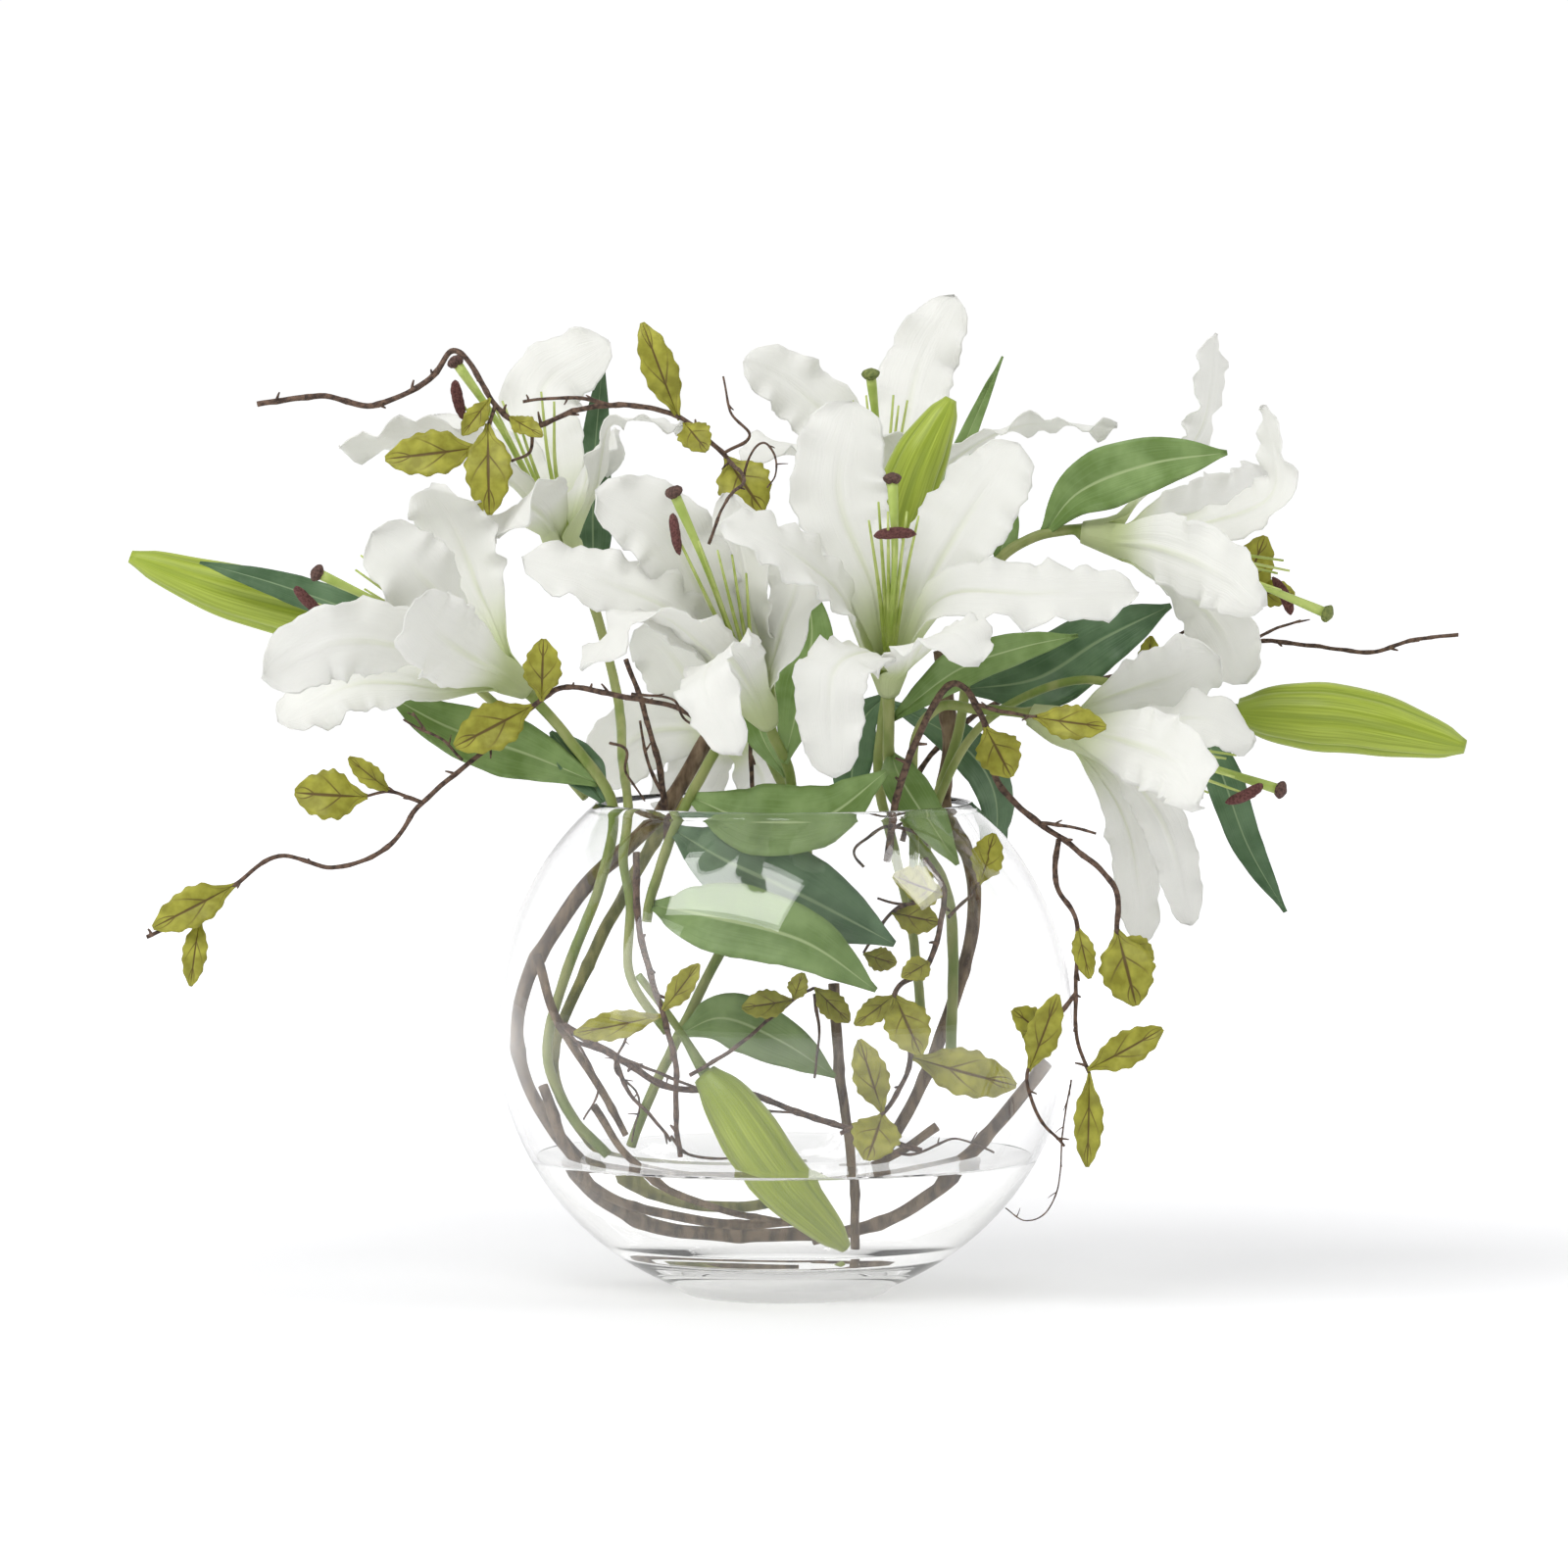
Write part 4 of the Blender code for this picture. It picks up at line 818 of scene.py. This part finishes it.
def floor_curve(grown):
    """The inside curve from wall to floor, from the wall inwards, grown into the glass by so much."""
    edge = inner_radius(FLOOR_CURVE_TOP) + grown
    rise = FLOOR_CURVE_TOP - BASE_THICKNESS
    turns = [k * math.pi / 16 for k in range(1, 8)]
    floor = BASE_THICKNESS - grown
    return [(edge * math.cos(t) ** 0.55, floor + rise * (1 - math.sin(t)) ** 1.6) for t in turns]


def make_bowl():
    """The blown bowl with its thick flat base and its fire-rounded rim."""
    rim = ellipse_radius(MOUTH_HEIGHT)
    profile = [(0.0, 0.0), (FOOT_RADIUS - 2.0, 0.0), (FOOT_RADIUS, 0.4), (FOOT_RADIUS + 3.0, 1.8)]
    profile += [(ellipse_radius(z), z) for z in heights_between(4.0, MOUTH_HEIGHT, 60)]
    profile += [(rim - RIM_WALL * 0.12, MOUTH_HEIGHT + 0.6), (rim - RIM_WALL * 0.5, MOUTH_HEIGHT + 0.85),
                (rim - RIM_WALL * 0.88, MOUTH_HEIGHT + 0.6)]
    profile += [(inner_radius(z), z) for z in reversed(heights_between(FLOOR_CURVE_TOP, MOUTH_HEIGHT, 54))]
    profile += floor_curve(0.0)
    profile.append((0.0, BASE_THICKNESS))
    mesh_piece("glass_bowl", turned(profile), clear_body("blown clear glass", "FEFEFE", 1.5),
               ("vase",))


def make_water():
    """Still water that wets the glass, with a small meniscus; it reaches a little into the wall, so that no
    film of air shows between them."""
    edge = inner_radius(WATER_LEVEL) + WATER_INTO_GLASS
    profile = [(0.0, BASE_THICKNESS - WATER_INTO_GLASS)]
    profile += reversed(floor_curve(WATER_INTO_GLASS))
    wet_heights = heights_between(FLOOR_CURVE_TOP, WATER_LEVEL, 12)
    profile += [(inner_radius(z) + WATER_INTO_GLASS, z) for z in wet_heights]
    profile += [(edge - 0.2, WATER_LEVEL + MENISCUS), (edge - 1.2, WATER_LEVEL + 0.5 * MENISCUS),
                (edge - 3.5, WATER_LEVEL), (0.0, WATER_LEVEL)]
    mesh_piece("bowl_water", turned(profile), clear_body("still water", "FEFEFD", WATER_BEND),
               ("water",))


# ---------------------------------------------------------------- blooms
def ruffle_waves(rng):
    """Three sets of waves for one petal edge: length along the edge in mm, height in mm and start."""
    return [(rng.uniform(26, 34), rng.uniform(1.6, 2.6), rng.uniform(0, math.tau)),
            (rng.uniform(14, 19), rng.uniform(1.6, 2.4), rng.uniform(0, math.tau)),
            (rng.uniform(8, 11), rng.uniform(0.7, 1.1), rng.uniform(0, math.tau))]


def wave_height(waves, distance):
    """How far the ruffled edge stands up at this distance along it."""
    return sum(high * math.sin(math.tau * distance / long + start) for long, high, start in waves)


def tepal_sheet(spec, base, axis, whorl, middle, rng):
    """Rows of points from the foot of the bloom's tube to the tip of one tepal."""
    width, *route = spec[:4]
    turn = spec[4] if len(spec) > 4 else 0.0
    foot_radius, throat_radius = whorl["tube"]
    side = axis.cross(middle)
    rows = []
    for k in range(TUBE_ROWS):
        share = k / TUBE_ROWS
        radius = foot_radius + (throat_radius - foot_radius) * share
        centre = base + axis * TUBE_LENGTH * share
        rows.append([
            centre + radius * (middle * math.cos(TUBE_SPREAD * j) + side * math.sin(TUBE_SPREAD * j))
            for j in TEPAL_COLUMNS
        ])
    start = base + axis * TUBE_LENGTH + middle * throat_radius
    points = even_route([start] + [Vector(p) for p in route], TEPAL_ROWS)
    length = route_length(points)
    waves = {-1: ruffle_waves(rng), 1: ruffle_waves(rng)}
    ring_half = throat_radius * math.sin(TUBE_SPREAD)
    outline_waves = {-1: rng.uniform(0, math.tau), 1: rng.uniform(0, math.tau)}
    for i, (tangent, across) in enumerate(carry_side(points, side)):
        share = i / TEPAL_ROWS
        opening = smooth_step(share / 0.22)
        rounding = max(0.0, share - (1 - TIP_ROUNDING)) / TIP_ROUNDING
        half = ring_half + (0.5 * width * along(TEPAL_OUTLINE, share) - ring_half) * opening
        half *= math.sqrt(1.003 - rounding**2.4)
        flat = tangent.cross(Vector((0.0, 1.0, 0.0)))
        flat = flat if flat.dot(across) > 0 else -flat
        across = across.lerp(flat.normalized(), turn * min(1.0, 1.6 * share)).normalized()
        inner = -(across.cross(tangent))
        away = points[i] - base
        away = away - away.dot(axis) * axis
        reach = max(away.length, 0.95 * half * (1.0 - share))
        points[i] += away.normalized() * (reach - away.length)
        wrap = reach - math.sqrt(max(0.0, reach**2 - half**2))
        cup = min(wrap, 0.5 * half) * (1 - share) - 0.04 * half
        cup = 0.54 * throat_radius + (cup - 0.54 * throat_radius) * opening
        centre = points[i] + inner * whorl["outward"] * min(1.0, 4 * share) * (1 - share**2)
        frill = smooth_step((share - 0.2) / 0.35)
        row = []
        for j in TEPAL_COLUMNS:
            hand = -1 if j < 0 else 1
            edge = abs(j)
            lift = cup * j * j
            lift += frill * edge**2.4 * wave_height(waves[hand], share * length)
            # The pressed midrib: a groove between two low welts
            welt = 0.9 * math.exp(-((edge - 0.2) / 0.09) ** 2)
            groove = 1.1 * math.exp(-((edge / 0.07) ** 2))
            lift += opening * (1 - share) * (welt - groove)
            ragged = 1 + 0.04 * frill * math.sin(math.tau * share * length / 17 + outline_waves[hand])
            ragged += 0.03 * frill * math.sin(math.tau * share * length / 7.3 + 2 * outline_waves[hand])
            point = centre + across * half * j * ragged + inner * lift
            row.append(point + inner * 0.8 * frill * noise.noise(point / 14.0))
        rows.append(row)
    return rows


def whorl_middles(lily, first, base, axis):
    """For the three tepals of a whorl, the direction from the axis to the middle of each one's foot."""
    u = axis.cross(Vector((0.0, 0.0, 1.0))).normalized()
    v = axis.cross(u)
    turns = []
    for k, spec in enumerate(lily["tepals"][first::2]):
        aim = Vector(spec[2]) - base
        turns.append(math.atan2(aim.dot(v), aim.dot(u)) - k * math.tau / 3)
    phase = math.atan2(sum(math.sin(t) for t in turns), sum(math.cos(t) for t in turns))
    return [u * math.cos(phase + k * math.tau / 3) + v * math.sin(phase + k * math.tau / 3) for k in range(3)]


def make_bloom(name, lily, looks):
    """Both whorls of a bloom as one piece, and its pistil."""
    axis = Vector(lily["axis"]).normalized()
    rng = random.Random("petals " + name)
    petals = Shape()
    across = [(j + 1) / 2 for j in TEPAL_COLUMNS]
    for first, whorl in enumerate((OUTER_WHORL, INNER_WHORL)):
        base = Vector(lily["base"]) + axis * whorl["lift"]
        middles = whorl_middles(lily, first, base, axis)
        for spec, middle in zip(lily["tepals"][first::2], middles):
            petals.grid(tepal_sheet(spec, base, axis, whorl, middle, rng), across)
    mesh_piece("petals_" + name, petals, looks["petal"], (f"lily_{name}_petals",), TEPAL_THICKNESS)
    make_pistil(name, lily, axis, looks)


def make_pistil(name, lily, axis, looks):
    """Style, three-lobed stigma, six tapering filaments and the one anther that the bloom keeps."""
    base = Vector(lily["base"]) + axis * 3.0
    seat = base + axis * 9.0
    points = even_route([base, seat + axis * 10.0, *lily["style"]], STYLE_STEPS)
    radii = []
    for k in range(STYLE_STEPS + 1):
        waist = 0.35 * math.sin(math.pi * min(1.0, k / 20))
        head = 0.5 * smooth_step((k - 19) / 5)
        radii.append(STYLE_RADIUS * (1.25 - waist + head))
    style = Shape()
    style.tube(points, radii, 12)
    mesh_piece("style_" + name, style, looks["style"])
    tangent = (points[-1] - points[-2]).normalized()
    stigma = Shape()
    heads = [points[-1] + tangent * (k * 0.75 - 1.0) for k in range(len(STIGMA_RADII))]
    stigma.tube(heads, STIGMA_RADII, 24, lambda angle, share: 0.82 + 0.2 * abs(math.cos(1.5 * angle)) ** 0.7)
    stigma.roughen(0, 1.2, 0.35)
    look = looks["green stigma" if name in GREEN_STIGMAS else "stigma"]
    mesh_piece("stigma_" + name, stigma, look)
    filaments = Shape()
    for k, tip in enumerate(lily["tips"]):
        tip = Vector(tip)
        bends = [base + (tip - base).normalized() * 0.8, seat.lerp(tip, 0.45) + axis * 3.0, tip]
        taper = [FILAMENT_RADIUS * (1.5 - 0.95 * i / FILAMENT_STEPS) for i in range(FILAMENT_STEPS + 1)]
        filaments.tube(even_route(bends, FILAMENT_STEPS), taper, 8)
    mesh_piece("filaments_" + name, filaments, looks["filament"], (f"lily_{name}_pistil",))
    if name in BARE_BLOOMS:
        return
    anther = Shape()
    lie = Vector(lily["anther"]).normalized()
    bow = (tip - base).normalized() * 1.6
    middle = []
    radii = []
    for i in range(ANTHER_STEPS + 1):
        off_middle = 2 * i / ANTHER_STEPS - 1
        middle.append(tip + lie * ANTHER_LENGTH * (i / ANTHER_STEPS - 0.5) - bow * off_middle ** 2)
        radii.append(ANTHER_RADIUS * math.sqrt(max(0.02, 1 - abs(off_middle) ** 2.6)))
    anther.tube(middle, radii, 20, lambda angle, share: 1 - 0.28 * abs(math.cos(angle)) ** 6,
                side=lie.cross(bow))
    anther.roughen(0, 1.5, 0.3)
    mesh_piece("anther_" + name, anther, looks["anther"])


# ---------------------------------------------------------------- leaves, stems and buds
def leaf_sheet(route, width, rows, outline, fold, rng, teeth=0.0):
    """Rows of points of a leaf that is folded a little along its midrib and waves at its edge."""
    points = even_route(route, rows)
    side = (points[1] - points[0]).cross(Vector((0.0, -0.96, 0.28)))
    length = route_length(points)
    waves = {-1: ruffle_waves(rng), 1: ruffle_waves(rng)}
    out = []
    for i, (point, (tangent, across)) in enumerate(zip(points, carry_side(points, side))):
        share = i / rows
        half = 0.5 * width * along(outline, share)
        up = across.cross(tangent)
        row = []
        for j in LEAF_COLUMNS:
            edge = abs(j)
            lift = half * fold * edge - 0.5 * math.exp(-((edge / 0.12) ** 2)) * (1 - share)
            ruffle = wave_height(waves[-1 if j < 0 else 1], share * length)
            lift += 0.28 * smooth_step(share / 0.2) * edge**2 * ruffle
            reach = half * j * (1 + teeth * edge**4 * math.sin(LEAF_TEETH * share + 2 * math.copysign(1, j)))
            row.append(point + across * reach + up * lift)
        out.append(row)
    return out


def make_leaves(name, looks):
    """The lance-shaped leaves of the stem or bud of that name, each a piece of its own."""
    for k, (width, *route) in enumerate(LEAVES.get(name, ())):
        leaf = Shape()
        rng = random.Random(f"leaf {name} {k}")
        sheet = leaf_sheet(route, width, LEAF_ROWS, LEAF_OUTLINE, 0.16, rng)
        leaf.grid(sheet, [(j + 1) / 2 for j in LEAF_COLUMNS])
        look = looks["dark leaf" if k in DARK_LEAVES.get(name, ()) else "leaf"]
        piece_name = f"leaf_{name.replace(' ', '_')}_{k + 1}"
        mesh_piece(piece_name, leaf, look, thickness=LEAF_THICKNESS)


def stalk(shape, route, radius, thin_end, swelling):
    """A smooth stalk along the route, a little swollen at its upper end."""
    points = smooth_route(route, 8)
    count = len(points) - 1
    radii = []
    for i in range(count + 1):
        taper = 1 - (1 - thin_end) * i / count
        radii.append(radius * taper * (1 + swelling * (1 - smooth_step(i / 7))))
    shape.tube(points, radii, 14)


def make_stem(name, spec, looks):
    """A stem, which starts inside its bloom if it has one, and its leaves."""
    radius, route = spec
    stem = Shape()
    swelling = 0.0
    if name in LILIES:
        axis = Vector(LILIES[name]["axis"]).normalized()
        route = [Vector(LILIES[name]["base"]) + axis * 1.5, *route]
        swelling = 0.8
    stalk(stem, route, radius, 0.9, swelling)
    stem.roughen(0, 9.0, 0.35)
    mesh_piece("stalk_" + name, stem, looks["stem"], ("stem_" + name,))
    make_leaves(name, looks)


def bud_section(angle, share):
    """Six pressed seams round the bud, deepest at its middle, with a low rib between each two."""
    beat = (angle * 6 / math.tau) % 1.0
    off_seam = min(beat, 1 - beat)
    depth = 0.1 * math.sin(math.pi * min(1.0, 0.12 + 0.88 * share)) + 0.02
    return 1 + 0.02 * math.cos(3 * angle) - depth * math.exp(-((off_seam / 0.13) ** 2))


def make_bud(name, spec, looks):
    """A closed bud, its own short stem and its leaves."""
    radius, stem_route, width, route = spec
    body = Shape()
    radii = [0.5 * width * along(BUD_OUTLINE, i / BUD_RINGS) for i in range(BUD_RINGS + 1)]
    body.tube(even_route(route, BUD_RINGS), radii, 48, bud_section)
    mesh_piece("budskin_" + name, body, looks["bud"], ("bud_" + name,))
    stem = Shape()
    stalk(stem, list(reversed(stem_route)), radius, 1.0, 0.7)
    mesh_piece("budstalk_" + name, stem, looks["stem"])
    make_leaves("bud " + name, looks)


# ---------------------------------------------------------------- vines and twigs
def knotty_radii(points, radius, thin_end, rng, every):
    """Radii of a grown shoot: it thins along its length and swells at knots."""
    length = route_length(points)
    knots = []
    at = rng.uniform(0.3, 1.0) * every
    while at < length:
        knots.append(at)
        at += rng.uniform(0.6, 1.4) * every
    radii = []
    reach = 0.0
    for i, point in enumerate(points):
        if i:
            reach += (point - points[i - 1]).length
        swell = sum(math.exp(-(((reach - knot) / (0.9 * radius + 0.4)) ** 2)) for knot in knots)
        radii.append(radius * (1 - (1 - thin_end) * reach / length) * (1 + 0.2 * min(1.0, swell)))
    return radii, knots


def make_vine(name, radius, route, looks, nodes=()):
    """One thick vine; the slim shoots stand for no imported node."""
    rng = random.Random("vine " + name)
    points = smooth_route(route, 14)
    radii, _ = knotty_radii(points, radius, 0.75, rng, 45.0)
    vine = Shape()
    # The bark is ridged lengthwise, five or so ridges round the shoot
    vine.tube(points, radii, 20, lambda angle, share: 1 + 0.05 * math.sin(5 * angle + 9 * share))
    vine.roughen(0, 16.0, 0.6)
    look = looks["olive vine" if name in OLIVE_VINES else "vine"]
    mesh_piece("shoot_" + name, vine, look, nodes)


def add_twig_wire(shape, route, radius, thin_end, rng, spurs):
    """One twig wire with knots, and a short broken spur at some of them."""
    points = smooth_route(route, 10)
    radii, knots = knotty_radii(points, radius, thin_end, rng, 13.0)
    first = len(shape.points)
    shape.tube(points, radii, 10)
    shape.roughen(first, 9.0, 0.6)
    reach = 0.0
    for a, b in zip(points, points[1:]):
        step = (b - a).length
        for knot in knots:
            if reach <= knot < reach + step and rng.random() < spurs:
                tangent = (b - a).normalized()
                lean = (any_side(tangent).normalized() * rng.uniform(-1, 1)
                        + Vector((rng.uniform(-1, 1), rng.uniform(-1, 1), rng.uniform(-1, 1)))).normalized()
                tip = a + (tangent * rng.uniform(0.3, 1.0) + lean).normalized() * rng.uniform(2.5, 6.0)
                shape.tube(even_route([a, a.lerp(tip, 0.5) + lean * 0.3, tip], 4),
                           [radius * s for s in (0.75, 0.6, 0.5, 0.42, 0.3)], 6)
        reach += step


def make_twig(name, wires, leaves, looks, nodes=()):
    """The wood of a twig with its side twigs as one piece, and its small leaves as another."""
    rng = random.Random("twig " + name)
    twig = Shape()
    for k, (radius, route) in enumerate(wires):
        add_twig_wire(twig, route, radius, 0.6 if k else 0.7, rng, 0.6)
    mesh_piece("twigwood_" + name, twig, looks["twig"], nodes)
    if not leaves:
        return
    foliage = Shape()
    across = [(j + 1) / 2 for j in LEAF_COLUMNS]
    for width, root, tip in leaves:
        root = Vector(root)
        tip = Vector(tip)
        bow = root.lerp(tip, 0.5) + Vector((0.0, -0.12, 0.0)) * (tip - root).length
        sheet = leaf_sheet((root, bow, tip), width, SMALL_LEAF_ROWS, SMALL_LEAF_OUTLINE, 0.14, rng, 0.07)
        foliage.grid(sheet, across)
    mesh_piece("twigleaves_" + name, foliage, looks["small leaf"],
               thickness=SMALL_LEAF_THICKNESS)


# ---------------------------------------------------------------- studio
CAMERA_DISTANCE = 4.5
CAMERA_ELEVATION = 3.3
AIM_HEIGHT = 0.2215
FRAME_WIDTH = 0.678
SENSOR_MM = 36.0
# Strength of the tent's white at the front and at the back
TENT_GLOW = (0.34, 1.03)
# The board's painted glow, light it gives off itself though it is no lamp, and the distances from the vase,
# in metres, over which it grows
PAINTED_BOARD_GLOW = (0.09, 0.56)
PAINTED_GLOW_REACH = (0.12, 1.3)
BOARD_HALF = 14.0
# Each softbox: its place in metres, its width and height, and its watts
SOFTBOXES = {
    "Window over the front left": ((-0.8, -1.3, 2.3), (2.2, 1.1), 42.0),
    "Window over the right": ((1.7, -0.2, 2.0), (0.8, 0.8), 11.0),
    "Softbox at the left": ((-2.2, -1.2, 1.0), (1.0, 1.6), 11.0),
}
WHITE = (1.0, 1.0, 1.0, 1.0)


def set_camera():
    """A long lens a little above table height, level with the middle of the bouquet."""
    camera = bpy.data.cameras.new("Camera")
    camera.sensor_width = SENSOR_MM
    camera.lens = SENSOR_MM * CAMERA_DISTANCE / FRAME_WIDTH
    camera.clip_end = 100.0
    holder = bpy.data.objects.new("Camera", camera)
    tilt = math.radians(CAMERA_ELEVATION)
    holder.location = (0.0, -CAMERA_DISTANCE * math.cos(tilt), AIM_HEIGHT + CAMERA_DISTANCE * math.sin(tilt))
    holder.rotation_euler = (math.radians(90.0 - CAMERA_ELEVATION), 0.0, 0.0)
    bpy.context.scene.collection.objects.link(holder)
    bpy.context.scene.camera = holder


def add_softbox(name, place, size, watts):
    """An area light turned towards the bouquet."""
    light = bpy.data.lights.new(name, "AREA")
    light.shape = "RECTANGLE"
    light.size, light.size_y = size
    light.energy = watts
    holder = bpy.data.objects.new(name, light)
    holder.location = place
    aim = Vector((0.0, 0.0, 0.22)) - holder.location
    holder.rotation_euler = aim.to_track_quat("-Z", "Y").to_euler()
    bpy.context.scene.collection.objects.link(holder)


def hang_tent():
    """A bright white tent all round: lighter behind the object than in front of it."""
    world = bpy.data.worlds.new("White tent")
    bpy.context.scene.world = world
    world.use_nodes = True
    tree = world.node_tree
    tree.nodes.clear()
    place = add_node(tree, "TexCoord")
    split = add_node(tree, "SeparateXYZ", {0: place.outputs["Generated"]})
    bright = add_node(tree, "MapRange",
                      {0: split.outputs[1], 1: -0.1, 2: 0.85, 3: TENT_GLOW[0], 4: TENT_GLOW[1]})
    glow = add_node(tree, "Background", {"Color": WHITE, "Strength": bright})
    output = add_node(tree, "OutputWorld")
    tree.links.new(glow.outputs[0], output.inputs[0])


def lay_board():
    """The matt white board, lit by the tent and the softboxes. On top of that it glows with painted light of
    its own, weak near the vase and stronger and stronger away from it.
    """
    material, tree, output = new_material("matt white board with painted glow")
    place = add_node(tree, "TexCoord")
    away = add_node(tree, "VectorMath", {0: place.outputs["Object"]}, operation="LENGTH")
    near, far = PAINTED_GLOW_REACH
    dim, strong = PAINTED_BOARD_GLOW
    # Painted glow: the board gives off light itself, weakest next to the vase and stronger away from it
    painted_board_glow = add_node(tree, "MapRange", {0: away.outputs["Value"], 1: near, 2: far, 3: dim, 4: strong},
                     interpolation_type="SMOOTHERSTEP")
    board = add_node(tree, "BsdfPrincipled",
                     {"Base Color": colour("F2F2F4"), "Roughness": 0.7, "Emission Color": WHITE,
                      "Emission Strength": painted_board_glow})
    tree.links.new(board.outputs[0], output.inputs[0])
    mesh = bpy.data.meshes.new("floor")
    corners = [(x * BOARD_HALF, y * BOARD_HALF, 0) for x, y in ((-1, -1), (1, -1), (1, 1), (-1, 1))]
    mesh.from_pydata(corners, [], [(0, 1, 2, 3)])
    mesh.materials.append(material)
    floor = bpy.data.objects.new("floor", mesh)
    bpy.context.scene.collection.objects.link(floor)


# ---------------------------------------------------------------- the whole arrangement
def make_looks():
    """Every material by what it is for."""
    return {
        "petal": coated_petal_cloth(),
        "leaf": pressed_leaf_cloth("pressed leaf cloth", "6A8742", "8AA565", "B4C590"),
        "dark leaf": pressed_leaf_cloth("dark pressed leaf cloth", "466541", "678560", "93AA80"),
        "small leaf": printed_small_leaf(),
        "bud": lime_bud_skin(),
        # Plastic-coated wire stalk, moulded satin green with lengthwise colour drifts of some 12 mm
        "stem": mottled_skin("moulded green stalk", "6F8238", "949A5E", 12.0, 0.45, 0.2, (1.0, 1.0, 0.4)),
        # Dried vine: rough grey-brown bark with flakes of about 4 mm
        "vine": mottled_skin("dried vine bark", "4A3928", "826F58", 4.0, 0.8, 0.5, (1.0, 1.0, 0.35)),
        "olive vine": mottled_skin("young vine bark", "5F632C", "8E8C50", 4.0, 0.75, 0.4, (1.0, 1.0, 0.35)),
        # Wire twig wrapped in brown paper tape, creased every 2 mm or so
        "twig": mottled_skin("taped twig", "3B2C24", "6B5445", 2.2, 0.75, 0.4),
        # Moulded plastic filaments, pale green
        "filament": mottled_skin("pale moulded filament", "A3B458", "BECA7C", 10.0, 0.45, 0.05),
        "style": mottled_skin("green moulded style", "9DB253", "B4C46C", 10.0, 0.42, 0.05),
        # Flocked anther and stigma: powdery, grains of about 0.6 mm
        "anther": mottled_skin("flocked anther", "4A2A28", "6B4440", 0.9, 0.9, 0.25),
        "stigma": mottled_skin("flocked stigma", "42302A", "644A42", 0.9, 0.85, 0.25),
        "green stigma": mottled_skin("green stigma", "5C6A34", "7F8748", 1.2, 0.7, 0.25),
    }


def make_arrangement():
    """All pieces, from the bowl outwards."""
    looks = make_looks()
    make_bowl()
    make_water()
    for name, lily in LILIES.items():
        make_bloom(name, lily, looks)
    for name, spec in STEMS.items():
        make_stem(name, spec, looks)
    for name, spec in BUDS.items():
        make_bud(name, spec, looks)
    for name, (radius, route) in VINES.items():
        make_vine(name, radius, route, looks, ("vine_" + name,))
    for name, (wires, leaves) in TWIGS.items():
        make_twig(name, wires, leaves, looks, ("twig_" + name,))
    for name, (wires, leaves) in FINE_TWIGS.items():
        make_twig(name, wires, leaves, looks)
    for name, (radius, route) in FINE_VINES.items():
        make_vine(name, radius, route, looks)


make_arrangement()
set_camera()
hang_tent()
lay_board()
for box_name, (box_place, box_size, box_watts) in SOFTBOXES.items():
    add_softbox(box_name, box_place, box_size, box_watts)
bpy.context.scene.view_settings.view_transform = "Standard"
